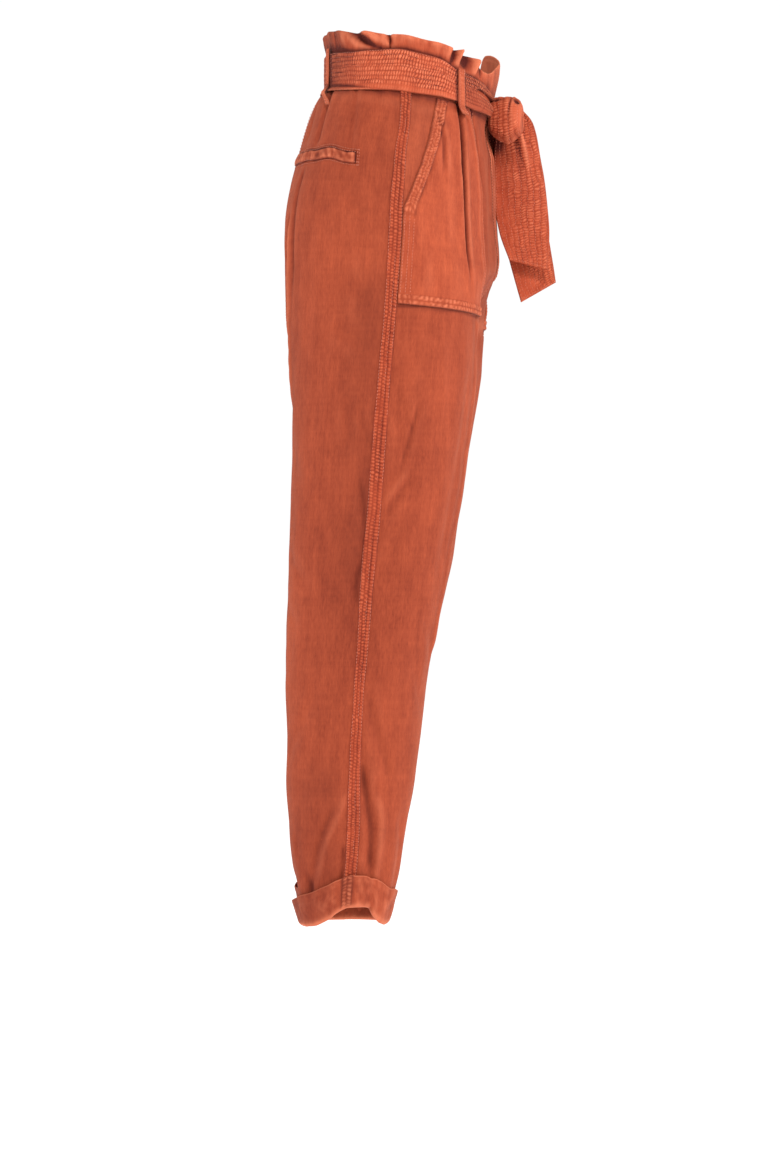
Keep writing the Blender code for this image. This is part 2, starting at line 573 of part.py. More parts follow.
def frill_half(side, waves, end_back):
    """Outer and inner points of a half of the paperbag band, from the centre back round."""
    part = np.linspace(0.0, 1.0, FRILL_COUNT + 1)
    wave, lift = frill_waves(part, waves)
    outer, inner = [], []
    top = smooth_at(part, (0.0, 0.45, 1.0), (FRILL_BACK, FRILL_SIDE, FRILL_FRONT))
    for step in FRILL_ROWS:
        height = BAND_BOTTOM + GAP + (top - BAND_BOTTOM - GAP) * step
        share = ease((height - BELT_HEIGHT / 2 - 0.5) / (top - BELT_HEIGHT / 2 + 0.5))
        flare = 1.4 * share
        offset = wave * share + flare
        shrink = np.where(part > 0.9, (part - 0.9) / 0.1, 0.0) ** 2
        shrink = shrink * end_back * share / 185.0
        rows = []
        for depth in (0.0, CLOTH):
            points = waist_ring(0.0, part - shrink, side, offset - depth)
            points[:, 2] += height + lift * share
            ends = GAP / 2 if side == "left" else -GAP / 2
            points[0, 0] = ends
            if part[-1] - shrink[-1] > 0.999:
                points[-1, 0] = ends
            rows.append(points)
        outer.append(rows[0])
        inner.append(rows[1])
    return np.array(outer), np.array(inner)


def make_waist():
    halves = {
        "right": frill_half("right", FRILL_RIGHT, FRILL_RIGHT_END),
        "left": frill_half("left", FRILL_LEFT, FRILL_LEFT_END),
    }
    split = 15              # column of the side seam
    for side, (outer, inner) in halves.items():
        edge = split
        front_outer, front_inner = outer[:, edge:].copy(), inner[:, edge:].copy()
        for grid in (front_outer, front_inner):
            grid[:, 0] += unit(grid[:, 1] - grid[:, 0]) * GAP
        wall("waist_front_" + side, front_outer, front_inner)
    right_outer, right_inner = halves["right"]
    left_outer, left_inner = halves["left"]
    outer = np.concatenate([right_outer[:, split:0:-1], left_outer[:, 1:split + 1]], axis=1)
    inner = np.concatenate([right_inner[:, split:0:-1], left_inner[:, 1:split + 1]], axis=1)
    wall("waist_back", outer, inner)
    return halves


def belt_rows(part, side):
    """Middle height and half height of the belt: it dips and draws in towards the knot."""
    near = ease((part - 0.80) / 0.17)
    return -5.0 * near, BELT_HEIGHT / 2 - 9.5 * near


def make_belt():
    part = np.linspace(0.0, 1.0, FRILL_COUNT + 1)
    heights = np.linspace(1.0, -1.0, 6)
    outer, inner = [], []
    for share in heights:
        rows = {}
        for side in ("right", "left"):
            middle, half = belt_rows(part, side)
            for name, offset in (("outer", BELT_EASE + BELT_THICK), ("inner", BELT_EASE)):
                points = waist_ring(0.0, part, side, offset)
                points[:, 2] += middle + half * share
                points[0, 0] = 0.0
                points[-1, 0] = 0.0
                rows[side, name] = points
        for name, target in (("outer", outer), ("inner", inner)):
            right, left = rows["right", name], rows["left", name]
            target.append(np.concatenate([right, left[-2:0:-1]]))
    wall("belt", np.array(outer), np.array(inner), BELT_COLOUR, closed=True)


def make_knot():
    turn = np.linspace(0.0, 2 * math.pi, KNOT_SIDES, endpoint=False)
    angle = math.radians(KNOT_TURN)
    rings = []
    for i, row in enumerate(KNOT):
        ring = dict(zip(KNOT_COLUMNS, row))
        c, s = np.cos(turn), np.sin(turn)
        inset = 1.0 if i in (3, 5) else 0.0
        shape = 1.0 - KNOT_GROOVE * inset + 0.02 * np.cos(3 * turn + 0.8)
        across = ring["shift_x"] + ring["half_x"] * shape * np.sign(c) * np.abs(c) ** 0.85
        x = KNOT_X + across * math.cos(angle) + ring["depth"] * math.sin(angle)
        y = KNOT_BACK_Y + across * math.sin(angle) - ring["depth"] * math.cos(angle)
        z = ring["centre_z"] + ring["half_z"] * shape * np.sign(s) * np.abs(s) ** 0.85
        rings.append(np.stack([x, y, z], axis=-1))
    points = np.concatenate(rings)
    faces = []
    for r in range(len(rings) - 1):
        for c in range(KNOT_SIDES):
            d = (c + 1) % KNOT_SIDES
            faces.append((r * KNOT_SIDES + c, r * KNOT_SIDES + d,
                          (r + 1) * KNOT_SIDES + d, (r + 1) * KNOT_SIDES + c))
    faces.append(tuple(range(KNOT_SIDES))[::-1])
    faces.append(tuple(range(len(points) - KNOT_SIDES, len(points))))
    add_object("knot", points, faces, BELT_COLOUR)


def make_tail(name, table):
    """A flat strip of doubled cloth that hangs from the knot, cut off slantwise."""
    across = np.linspace(0.0, 1.0, TAIL_COUNT + 1)
    left, right = [], []
    for row in table:
        tail = dict(zip(TAIL_COLUMNS, row))
        y = tail["inner_y"] + (tail["outer_y"] - tail["inner_y"]) * across
        z = tail["inner_z"] + (tail["outer_z"] - tail["inner_z"]) * across
        x = tail["x"] - tail["cup"] * np.sin(math.pi * across)
        middle = np.stack([x, y, z], axis=-1)
        left.append(middle - np.array([TAIL_THICK / 2, 0.0, 0.0]))
        right.append(middle + np.array([TAIL_THICK / 2, 0.0, 0.0]))
    wall(name, np.array(left), np.array(right), BELT_COLOUR)


# ---------------------------------------------------------------- loops
def loop_strip(name, centres, normals, across):
    """A narrow folded strip through centre points, LOOP_WIDTH wide and LOOP_THICK thick."""
    half = across * LOOP_WIDTH / 2
    inner = np.stack([centres - half, centres + half], axis=1)
    out = normals[:, None, :] * LOOP_THICK
    wall(name, inner + out, inner, EDGE_COLOUR)


def make_loop(side, loop):
    """Stands over the belt and is sewn down above and below it."""
    part, top, bottom, dip = (loop[name] for name in ("part", "top", "bottom", "dip"))
    spread = np.array([-1.0, 1.0]) * 0.004
    here = waist_ring(0.0, np.array([part]) + spread, side, 0.0)
    across = unit(here[1] - here[0])
    over = BELT_EASE + BELT_THICK + GAP
    rows = (
        (top, over + 0.2), (top - 6.0, over + 0.2), (bottom + 22.0, over + 0.2),
        (bottom + 9.0, over + dip * 0.5), (bottom, dip),
    )
    centres = []
    for height, out in rows:
        point = waist_ring(0.0, np.array([part]), side, out)[0]
        point[2] += height
        centres.append(point)
    base = waist_ring(0.0, np.array([part]), side, 0.0)[0]
    normal = unit(waist_ring(0.0, np.array([part]), side, 1.0)[0] - base)
    loop_strip(loop["name"] + side, np.array(centres), np.repeat(normal[None], len(rows), axis=0), across)


# ---------------------------------------------------------------- pieces that lie on a panel
def make_pocket(side, panel):
    """Patch pocket: from its slanted mouth and the seam to the pocket edge, cut straight below."""
    columns = np.arange(MOUTH_COLUMN, POCKET_EDGE_COLUMN + 1).astype(float)
    rows = [r for r in range(1, len(PANEL_LEVELS)) if PANEL_LEVELS[r] > -246.0]
    slant = np.linspace(level_row(-250.0), level_row(-257.5), len(columns))
    row_grid = [np.full(len(columns), float(r)) for r in rows] + [slant]
    column_grid = [columns] * len(row_grid)
    outer, inner = on_panel(panel, row_grid, column_grid, 0.45, POCKET_THICK)
    wall("pocket_" + side, outer, inner)


def make_side_seam(side, front, back):
    """Felled seam: a raised strip over the join of the front and back panels."""
    outer, inner = [], []
    for r in range(1, len(PANEL_LEVELS)):
        share = r / (len(PANEL_LEVELS) - 1)
        half = SEAM_HALF_TOP + (SEAM_HALF_HEM - SEAM_HALF_TOP) * share
        ahead = arc_column(front, r, half)
        astern = arc_column(back, r, half)
        places = [between(back[0], r, astern), back[0][r, 0], front[0][r, 0], between(front[0], r, ahead)]
        ways = [between(back[1], r, astern), back[1][r, 0], front[1][r, 0], between(front[1], r, ahead)]
        places = np.array([places[0], (places[1] + places[2]) / 2, places[3]])
        ways = unit(np.array([ways[0], ways[1] + ways[2], ways[3]]))
        inner.append(places + ways * 0.4)
        outer.append(places + ways * (0.4 + SEAM_THICK))
    wall("seam_" + side, np.array(outer), np.array(inner), EDGE_COLOUR)


def make_welt(side, back):
    """Back pocket: a folded strip over its slit."""
    arcs = np.linspace(47.0, 172.0, 9)
    row_grid, column_grid = [], []
    for drop in (0.0, 0.5, 1.0):
        rows, columns = [], []
        for i, arc in enumerate(arcs):
            level = -93.0 - 9.0 * min(1.0, i / 4.0) - WELT_HEIGHT * drop
            row = level_row(level)
            rows.append(row)
            columns.append(arc_column(back, row, arc))
        row_grid.append(rows)
        column_grid.append(columns)
    outer, inner = on_panel(back, row_grid, column_grid, 0.9, WELT_THICK)
    wall("welt_" + side, outer, inner, EDGE_COLOUR)


def make_fly(panel):
    """Fly stand on the right front, curved to the centre seam at its foot."""
    row_grid, column_grid = [], []
    count = 4
    for r in range(1, 11):
        level = PANEL_LEVELS[r]
        total = panel[2][r, -1]
        foot = ease((level + 205.0) / 75.0)
        width = 3.0 + (FLY_WIDTH - 3.0) * math.sqrt(float(foot))
        arcs = np.linspace(total - width, total - 1.0, count)
        row_grid.append([float(r)] * count)
        column_grid.append([arc_column(panel, r, arc) for arc in arcs])
    outer, inner = on_panel(panel, row_grid, column_grid, 0.8, FLY_THICK)
    wall("fly", outer, inner, EDGE_COLOUR)


# ---------------------------------------------------------------- cuffs
CUFF_PROFILE_COLUMNS = ("out", "up")
CUFF_PROFILE = (
    (-1.8, PANEL_ABOVE_FOLD - GAP), (-1.8, 3.0), (-0.4, 0.2), (3.2, 0.0), (4.8, 2.2),
    (6.6, CUFF_HEIGHT), (4.6, CUFF_HEIGHT + 0.3), (2.7, 3.6), (1.3, 2.4), (0.0, 3.8),
    (0.0, PANEL_ABOVE_FOLD - GAP),
)


def make_cuff(side):
    """Turned-up hem: the inner leaf carries on from the panels, the outer one stands off them."""
    profiles = []
    for face in ("front", "back"):
        total = row_length(HEM_LEVEL, face)
        arcs = panel_arcs(HEM_LEVEL, face)
        keep = arcs if face == "front" else arcs[1:-1][::-1]
        for arc in keep:
            rows = []
            for out, up in CUFF_PROFILE:
                level = HEM_LEVEL + up
                share = np.array([arc / total * row_length(level, face)])
                point = base_points(level, face, share)
                way = base_normals(level, face, share)
                way[:, 2] = 0.0
                point = to_side(point + unit(way) * out, level, side)[0]
                rows.append(point)
            profiles.append(rows)
    swept_ring("cuff_" + side, np.array(profiles), EDGE_COLOUR)


# ---------------------------------------------------------------- build
COLLECTION = "paperbag_waist_trousers"


def clear_scene():
    for item in list(bpy.data.objects):
        bpy.data.objects.remove(item)


def build():
    clear_scene()
    made = bpy.data.collections.new(COLLECTION)
    bpy.context.scene.collection.children.link(made)
    for side in ("right", "left"):
        front = make_panel(side, "front")
        back = make_panel(side, "back")
        make_pocket(side, front)
        make_side_seam(side, front, back)
        make_welt(side, back)
        make_cuff(side)
        if side == "right":
            make_fly(front)
        for row in LOOPS:
            make_loop(side, dict(zip(LOOP_COLUMNS, row)))
    make_waist()
    make_belt()
    make_knot()
    make_tail("tail_near", TAIL_NEAR)
    make_tail("tail_far", TAIL_FAR)


build()
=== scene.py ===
# Paperbag waist trousers with a tied belt. Lengths are in millimetres until a mesh is made.
import math
import bpy
import numpy as np
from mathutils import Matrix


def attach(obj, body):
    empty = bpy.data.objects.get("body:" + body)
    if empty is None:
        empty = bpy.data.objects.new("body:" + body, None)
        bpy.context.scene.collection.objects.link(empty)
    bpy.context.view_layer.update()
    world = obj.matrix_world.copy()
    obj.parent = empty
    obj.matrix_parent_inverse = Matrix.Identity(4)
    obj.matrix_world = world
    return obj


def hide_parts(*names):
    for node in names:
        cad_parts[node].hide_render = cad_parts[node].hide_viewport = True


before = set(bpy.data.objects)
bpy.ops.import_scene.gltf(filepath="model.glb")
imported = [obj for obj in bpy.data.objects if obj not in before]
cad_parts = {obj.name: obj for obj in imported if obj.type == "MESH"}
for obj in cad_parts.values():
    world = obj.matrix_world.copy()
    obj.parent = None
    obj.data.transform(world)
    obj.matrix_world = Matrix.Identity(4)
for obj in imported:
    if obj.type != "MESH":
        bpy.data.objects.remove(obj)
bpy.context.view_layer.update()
mm = 0.001
sides = ("right", "left")
print("frame loaded")


# colours and shader sums
class Wire:
    def __init__(self, tree, socket=None):
        self.tree, self.socket = tree, socket

    def feed(self, made, inputs):  # a wire is linked, a plain value is set
        for name, value in inputs.items():
            if isinstance(value, Wire):
                self.tree.links.new(value.socket, made.inputs[name])
            else:
                made.inputs[name].default_value = value

    def node(self, kind, inputs=None, out=0, **settings):  # any node at all
        made = self.tree.nodes.new(kind)
        for name, value in settings.items():
            setattr(made, name, value)
        self.feed(made, inputs or {})
        return Wire(self.tree, made.outputs[out])

    def maths(self, operation, *values):
        return self.node("ShaderNodeMath", dict(enumerate(values)), operation=operation)

    def __add__(self, other): return self.maths("ADD", self, other)
    def __radd__(self, other): return self.maths("ADD", other, self)
    def __sub__(self, other): return self.maths("SUBTRACT", self, other)
    def __mul__(self, other): return self.maths("MULTIPLY", self, other)
    def sine(self): return self.maths("SINE", self)
    def limited(self, low=0.0, high=1.0): return self.node("ShaderNodeClamp", {"Value": self, "Min": low, "Max": high})

    def parts(self):
        made = self.tree.nodes.new("ShaderNodeSeparateXYZ")
        self.feed(made, {0: self})
        return [Wire(self.tree, socket) for socket in made.outputs]

    def blend(self, first, second):  # colours by this amount
        return self.node("ShaderNodeMix", {0: self, 6: first, 7: second}, out=2, data_type="RGBA")


def newMaterial(name):
    made = bpy.data.materials.new(name)
    made.use_nodes = True
    return made, Wire(made.node_tree), made.node_tree.nodes["Principled BSDF"]


def colour(red, green, blue):
    return (red, green, blue, 1.0)


# besides the dye's light and dark: a lighter colour for wear and painted highlights, and a dark colour for painted
# shade
clothLook = {
    "light": colour(0.425, 0.077, 0.0305), "dark": colour(0.190, 0.026, 0.011),
    "faded": colour(0.71, 0.192, 0.094), "paintedShadeColour": colour(0.080, 0.009, 0.006),
    "rib": 0.0011, "yarn": 0.00055, "patch": 1.05, "slub": 1.15, "cross": 0.30, "small": 0.7,
    "fine": 0.9, "twill": 0.14, "wear": 0.75, "paintedShade": 0.9, "rough": 0.78, "relief": 0.6,
    "crumple": 0.16, "sheen": 0.13, "sheenTint": colour(1.0, 0.48, 0.30),
}
threadLook = {"light": colour(0.70, 0.205, 0.110), "dark": colour(0.50, 0.115, 0.058), "rough": 0.62}


def twillCloth(name, **own):
    look = {**clothLook, **own}
    made, start, shader = newMaterial(name)
    flat = start.node("ShaderNodeUVMap", uv_map="cloth")
    place = start.node("ShaderNodeTexCoord", out="Object")
    across, along, _ = flat.parts()
    wornAndLit, paintedShade = (start.node("ShaderNodeAttribute", attribute_name=key, out="Fac") for key in ("wornAndLit", "paintedShade"))

    def noiseOn(where, stretch, scale, detail, roughness):
        moved = start.node("ShaderNodeVectorMath", {0: where, 1: stretch}, operation="MULTIPLY")
        return start.node("ShaderNodeTexNoise", {"Vector": moved, "Scale": scale, "Detail": detail,
                                                 "Roughness": roughness}, out="Fac")
    fullTurn = 6.2832
    rib = fullTurn / look["rib"]  # the diagonal of the weave
    warp = (across * (fullTurn / look["yarn"])).sine() * 0.5 + 0.5
    waves = {
        "patch": noiseOn(place, (1.0, 1.0, 0.28), 15.0, 4.0, 0.62),  # uneven dye
        "slub": (noiseOn(flat, (97.0, 6.5, 1.0), 1.0, 6.0, 0.8)
                 + noiseOn(flat, (343.0, 23.0, 1.0), 1.0, 3.0, 0.7)) * 0.5,
        "cross": noiseOn(flat, (11.0, 260.0, 1.0), 1.0, 3.0, 0.65),
        "small": noiseOn(place, (1.0, 1.0, 0.5), 74.0, 4.0, 0.65),
        "fine": noiseOn(flat, (900.0, 150.0, 1.0), 1.0, 3.0, 0.6),
        "twill": (across * rib * 0.82 + along * rib * 0.57).sine() * 0.5 + 0.5,
    }
    shade = sum((wave - 0.5) * look[key] for key, wave in waves.items())
    colours = (shade + 0.5).limited().blend(look["dark"], look["light"])
    # lighter where the cloth is worn and where a highlight is painted
    wear = (wornAndLit * (waves["small"] * 0.9 + 0.55)).limited() * look["wear"]
    colours = wear.limited().blend(colours, look["faded"])
    # darker where shade is painted
    colours = (paintedShade * look["paintedShade"]).limited().blend(colours, look["paintedShadeColour"])
    rough = (waves["patch"] - 0.5) * 0.10 + (waves["slub"] - 0.5) * 0.12 + look["rough"] - wornAndLit * 0.08
    relief = waves["twill"] * 0.55 + warp * 0.25 + (waves["slub"] - 0.5) * 0.9 + (waves["fine"] - 0.5) * 0.5
    crumple = noiseOn(place, (1.0, 1.0, 0.7), 60.0, 3.0, 0.55)
    bump = start.node("ShaderNodeBump", {"Height": relief, "Strength": look["relief"], "Distance": 0.00022},
                      out="Normal")
    bump = start.node("ShaderNodeBump", {"Height": crumple, "Strength": look["crumple"], "Distance": 0.0022,
                                         "Normal": bump}, out="Normal")
    start.feed(shader, {"Base Color": colours, "Roughness": rough.limited(0.3, 1.0), "Normal": bump,
                        "Sheen Weight": look["sheen"], "Sheen Roughness": 0.42, "Sheen Tint": look["sheenTint"],
                        "Specular IOR Level": 0.14})
    return made


def threadMaterial(name, look):
    made, start, shader = newMaterial(name)
    place = start.node("ShaderNodeTexCoord", out="Object")
    amount = start.node("ShaderNodeTexNoise", {"Vector": place, "Scale": 260.0, "Detail": 2.0, "Roughness": 0.5},
                        out="Fac")
    _, sideways, upwards = place.parts()
    twist = (upwards * 9000.0 + sideways * 7000.0).sine()
    bump = start.node("ShaderNodeBump", {"Height": twist, "Strength": 0.4, "Distance": 0.0001}, out="Normal")
    start.feed(shader, {"Base Color": amount.blend(look["dark"], look["light"]), "Normal": bump,
                        "Roughness": look["rough"], "Sheen Weight": 0.2})
    return made


cloth = twillCloth("rust twill")
# the pockets, frill, seams and belt get lighter copies of the same twill: painted light, matched to how brightly these
# parts are lit
pocketCloth = twillCloth("rust twill of the pockets", light=colour(0.495, 0.092, 0.036),
                         dark=colour(0.255, 0.036, 0.015), small=1.0)
frillCloth = twillCloth("rust twill of the frill", light=colour(0.535, 0.096, 0.038),
                        dark=colour(0.255, 0.034, 0.0145))
seamCloth = twillCloth("rust twill of the seams", light=colour(0.480, 0.075, 0.028),
                       dark=colour(0.230, 0.026, 0.0105), faded=colour(0.690, 0.150, 0.064), wear=0.55)
beltCloth = twillCloth("rust twill of the belt", light=colour(0.605, 0.110, 0.0435),
                       dark=colour(0.34, 0.047, 0.020), slub=0.9, patch=0.95)
thread = threadMaterial("rust thread", threadLook)
print("cloth and thread made")


# sums on tables and arrays
def smoothAt(wanted, places, values):  # smooth line through a table, never past its values
    places, values = np.asarray(places, float), np.asarray(values, float)
    if places[0] > places[-1]:
        places, values = places[::-1], values[::-1]
    step = np.diff(places)
    rise = np.diff(values) / step
    slope = np.zeros_like(values)
    slope[0], slope[-1] = rise[0], rise[-1]
    sameWay = rise[:-1] * rise[1:] > 0
    early, late = 2 * step[1:] + step[:-1], step[1:] + 2 * step[:-1]
    mean = (early + late) / (early / np.where(sameWay, rise[:-1], 1.0) + late / np.where(sameWay, rise[1:], 1.0))
    slope[1:-1] = np.where(sameWay, mean, 0.0)
    wanted = np.clip(np.asarray(wanted, float), places[0], places[-1])
    i = np.clip(np.searchsorted(places, wanted, side="right") - 1, 0, len(step) - 1)
    t = (wanted - places[i]) / step[i]
    return ((1 + 2 * t) * (1 - t) ** 2 * values[i] + t * (1 - t) ** 2 * step[i] * slope[i]
            + t * t * (3 - 2 * t) * values[i + 1] + t * t * (t - 1) * step[i] * slope[i + 1])


def fromTable(table, place, column=1):  # places in the first column, values in another
    return smoothAt(place, table[:, 0], table[:, column])


def limit(value):
    return np.clip(value, 0.0, 1.0)


def ease(value):  # 0 to 1 with soft ends
    value = limit(value)
    return value * value * (3 - 2 * value)


def hump(x, at, wide):  # 1 at the middle, fading to 0 on both sides
    return np.exp(-((x - at) / wide) ** 2)


def crossed(down, across):
    return np.meshgrid(down, across, indexing="ij")


def lengthAlong(line):  # of a line of points, from its start
    return np.concatenate([[0.0], np.cumsum(np.hypot(*np.diff(line, axis=0).T))])


def unit(vectors):
    return vectors / np.maximum(np.linalg.norm(vectors, axis=-1, keepdims=True), 1e-9)


def wobble(x, y, seed):  # smooth random hills from -1 to 1, one for each unit of x and y
    x, y = np.broadcast_arrays(np.asarray(x, float), np.asarray(y, float))
    left, low = np.floor(x), np.floor(y)
    u, v = ease(x - left), ease(y - low)

    def corner(i, j):
        value = np.sin((left + i) * 127.1 + (low + j) * 311.7 + seed * 74.7) * 43758.5453
        return 2 * (value - np.floor(value)) - 1
    return ((corner(0, 0) * (1 - u) + corner(1, 0) * u) * (1 - v)
            + (corner(0, 1) * (1 - u) + corner(1, 1) * u) * v)


# form of the trousers: half sections of the right side, top to bottom
sectionNames = ("level", "sideX", "seamY", "frontX", "frontY", "backX", "backY",
                "riseX", "frontRiseY", "backRiseY", "frontPower", "backPower")
sections = np.array((
    (60, -121.5, -6, 0, -101, 0, 79, 0, -101, 79, 2.05, 2.2),
    (0, -121.5, -6, 0, -101, 0, 79, 0, -101, 79, 2.05, 2.2),
    (-23.5, -121.2, -6, 0, -99.5, 0, 78.8, 0, -99.5, 78.8, 2.05, 2.2),
    (-32, -131, -6, 0, -98.5, 0, 86.5, 0, -98.5, 86.5, 2.00, 2.2),
    (-48, -139.5, -5.5, 0, -99.5, 0, 94.5, 0, -99.5, 94.5, 1.95, 2.2),
    (-67, -148, -3.5, 0, -101, 0, 101, 0, -101, 101, 1.9, 2.2),
    (-88, -156.5, -0.5, 0, -102, -4, 107, 0, -102, 106.5, 1.85, 2.2),
    (-108, -163.5, 1, 0, -102.5, -18, 112.5, 0, -102.5, 110.5, 1.8, 2.2),
    (-126, -169, 2.5, 0, -103, -34, 117, 0, -103, 113.5, 1.78, 2.2),
    (-145, -173.5, 4, 0, -104, -50, 120.5, 0, -104, 115, 1.76, 2.2),
    (-164, -177, 4.8, 0, -105.3, -64, 122.6, 0, -105.3, 113.5, 1.75, 2.2),
    (-182, -180, 5.5, -3, -106.3, -74, 123, 0, -106, 110, 1.75, 2.2),
    (-198, -182, 6.5, -18, -104, -81, 122.2, 0, -104.5, 104.5, 1.8, 2.2),
    (-215, -183.5, 7.5, -50, -94, -85, 121.6, 0, -96, 95, 1.95, 2.2),
    (-230, -184.5, 8.5, -76, -86, -88, 121, 0, -84, 82, 2.1, 2.2),
    (-243, -185, 9.3, -87, -83, -90, 120.6, 0, -68, 65, 2.2, 2.2),
    (-253, -185.2, 10, -91, -82, -91.5, 120.2, 0, -46, 47, 2.2, 2.2),
    (-260, -185.2, 10.6, -92, -81.4, -92.5, 120, 0, -22, 32, 2.2, 2.2),
    (-265, -185, 11, -92.5, -81, -93, 119.8, 0, 15, 15, 2.2, 2.2),
    (-290, -184.5, 13.3, -94, -80, -94.5, 117.4, -4, 17, 17, 2.2, 2.2),
    (-320, -183, 16, -94.5, -78.3, -95, 115.8, -6, 19, 19, 2.2, 2.2),
    (-360, -180, 19.5, -94, -74.2, -94.5, 114.8, -8, 21, 21, 2.2, 2.2),
    (-405, -176.5, 23, -93, -68, -93.5, 114.8, -10.5, 23.5, 23.5, 2.2, 2.2),
    (-450, -172.5, 26, -92.5, -62.3, -92.5, 116.2, -13, 27, 27, 2.2, 2.2),
    (-500, -168, 31, -91.5, -53.5, -91.5, 117.8, -15, 32, 32, 2.2, 2.2),
    (-550, -163, 35.5, -90, -45, -90, 119, -17.5, 37, 37, 2.2, 2.2),
    (-600, -158.5, 39, -88.5, -36.5, -88.5, 120.8, -20, 41, 41, 2.2, 2.2),
    (-650, -154, 43, -88, -27.5, -88, 121.5, -23, 45, 45, 2.2, 2.2),
    (-700, -150, 46, -88, -22, -88, 119.4, -26, 48.5, 48.5, 2.2, 2.2),
    (-750, -146.5, 48, -88, -15.5, -88, 120.6, -29.5, 51, 51, 2.2, 2.2),
    (-800, -143, 49, -88, -6.5, -88, 118, -33, 54, 54, 2.2, 2.2),
    (-850, -139, 51, -87.5, 2.5, -87.5, 113, -36, 57, 57, 2.15, 2.15),
    (-875, -136, 53, -87.5, 8.5, -87.5, 108.5, -39, 58, 58, 2.1, 2.1),
    (-905, -133, 55, -87.5, 18, -87.5, 101.5, -42, 59, 59, 2.1, 2.1),
))
stride = np.array((
    (60, 0), (-180, 0), (-215, 6), (-240, 12), (-290, 12), (-330, 9),
    (-400, 6), (-460, 6), (-510, 7.5), (-575, 4), (-650, 0.5), (-800, -0.5),
    (-860, -2), (-905, -2.5),
))  # level, how far the left leg stands ahead
frontLineNames = ("level", "mouth", "pocketEdge")  # arc from the side seam to the pocket's two edges
frontLines = np.array((
    (60, 33, 84), (-14, 33, 84), (-50, 29, 101), (-88, 24.7, 120), (-118, 17, 131), (-140, 10.5, 136),
    (-152, 7.6, 137.5), (-200, 7.4, 141), (-265, 7.2, 148), (-360, 6.8, 144), (-450, 6.4, 134),
    (-550, 6, 120), (-650, 5.6, 110), (-750, 5.4, 97), (-850, 5.2, 78), (-905, 5, 63),
))
waistLean, leanTop, leanEnd, forkLevel, flareLevel = 0.21, -30.0, -265.0, -265.0, -23.5
hemLevel, hemArch, panelAboveFold = -900.0, 22.0, 13.0
bandBottom, beltHeight = -14.0, 43.0
formStep, formPoints = 2.5, 181  # rows down the form and points round each


def lean(level):
    return waistLean * (1 - ease((leanTop - level) / (leanTop - leanEnd)))


def makeForm(face):
    level = np.arange(63.0, -912.0, -formStep)
    size = {name: fromTable(sections, level, i)[:, None] for i, name in enumerate(sectionNames)}
    rise = np.where(level[:, None] > forkLevel, size[face + "RiseY"], size["backRiseY"])
    innerPower = 1.45 + 0.6 * ease((-235.0 - level[:, None]) / 30.0)
    turn = np.linspace(0.0, math.pi / 2, 60)[None]
    falling, rising = np.maximum(np.cos(turn), 0.0), np.sin(turn)
    power, crestX, crestY = size[face + "Power"], size[face + "X"], size[face + "Y"]
    outerX = crestX + (size["sideX"] - crestX) * falling ** (2 / power)
    outerY = size["seamY"] + (crestY - size["seamY"]) * rising ** (2 / power)
    innerX = crestX + (size["riseX"] - crestX) * rising ** (2 / innerPower)
    innerY = rise + (crestY - rise) * falling ** (2 / innerPower)
    x, y = np.hstack([outerX, innerX[:, 1:]]), np.hstack([outerY, innerY[:, 1:]])
    along = np.hstack([np.zeros((len(level), 1)), np.cumsum(np.hypot(np.diff(x), np.diff(y)), axis=1)])
    share = np.linspace(0.0, 1.0, formPoints)
    points = np.zeros((len(level), formPoints, 3))
    for i in range(len(level)):
        points[i, :, 0] = np.interp(share * along[i, -1], along[i], x[i])
        points[i, :, 1] = np.interp(share * along[i, -1], along[i], y[i])
    points[..., 2] = level[:, None] + lean(level)[:, None] * points[..., 1]
    way = 1.0 if face == "front" else -1.0
    ahead, up = np.gradient(points, axis=1), -np.gradient(points, axis=0)
    ahead[:, 0] = np.stack([0 * level, -way + 0 * level, -way * lean(level)], axis=-1)
    below = level < forkLevel - 1.0
    ahead[below, -1] = np.stack([0 * level, way + 0 * level, way * lean(level)], axis=-1)[below]
    normal = np.cross(ahead, up) * way
    middle = ~below
    normal[middle, -1] = np.stack([0 * up[middle, -1, 0], -up[middle, -1, 2], up[middle, -1, 1]], axis=-1) * way
    return {"level": level, "total": along[:, -1], "grid": np.concatenate([points, unit(normal)], axis=-1)}


forms = {face: makeForm(face) for face in ("front", "back")}


def rowLength(level, face):
    return np.interp(-np.asarray(level, float), -forms[face]["level"], forms[face]["total"])


def frontLine(level, name):
    return fromTable(frontLines, level, frontLineNames.index(name))


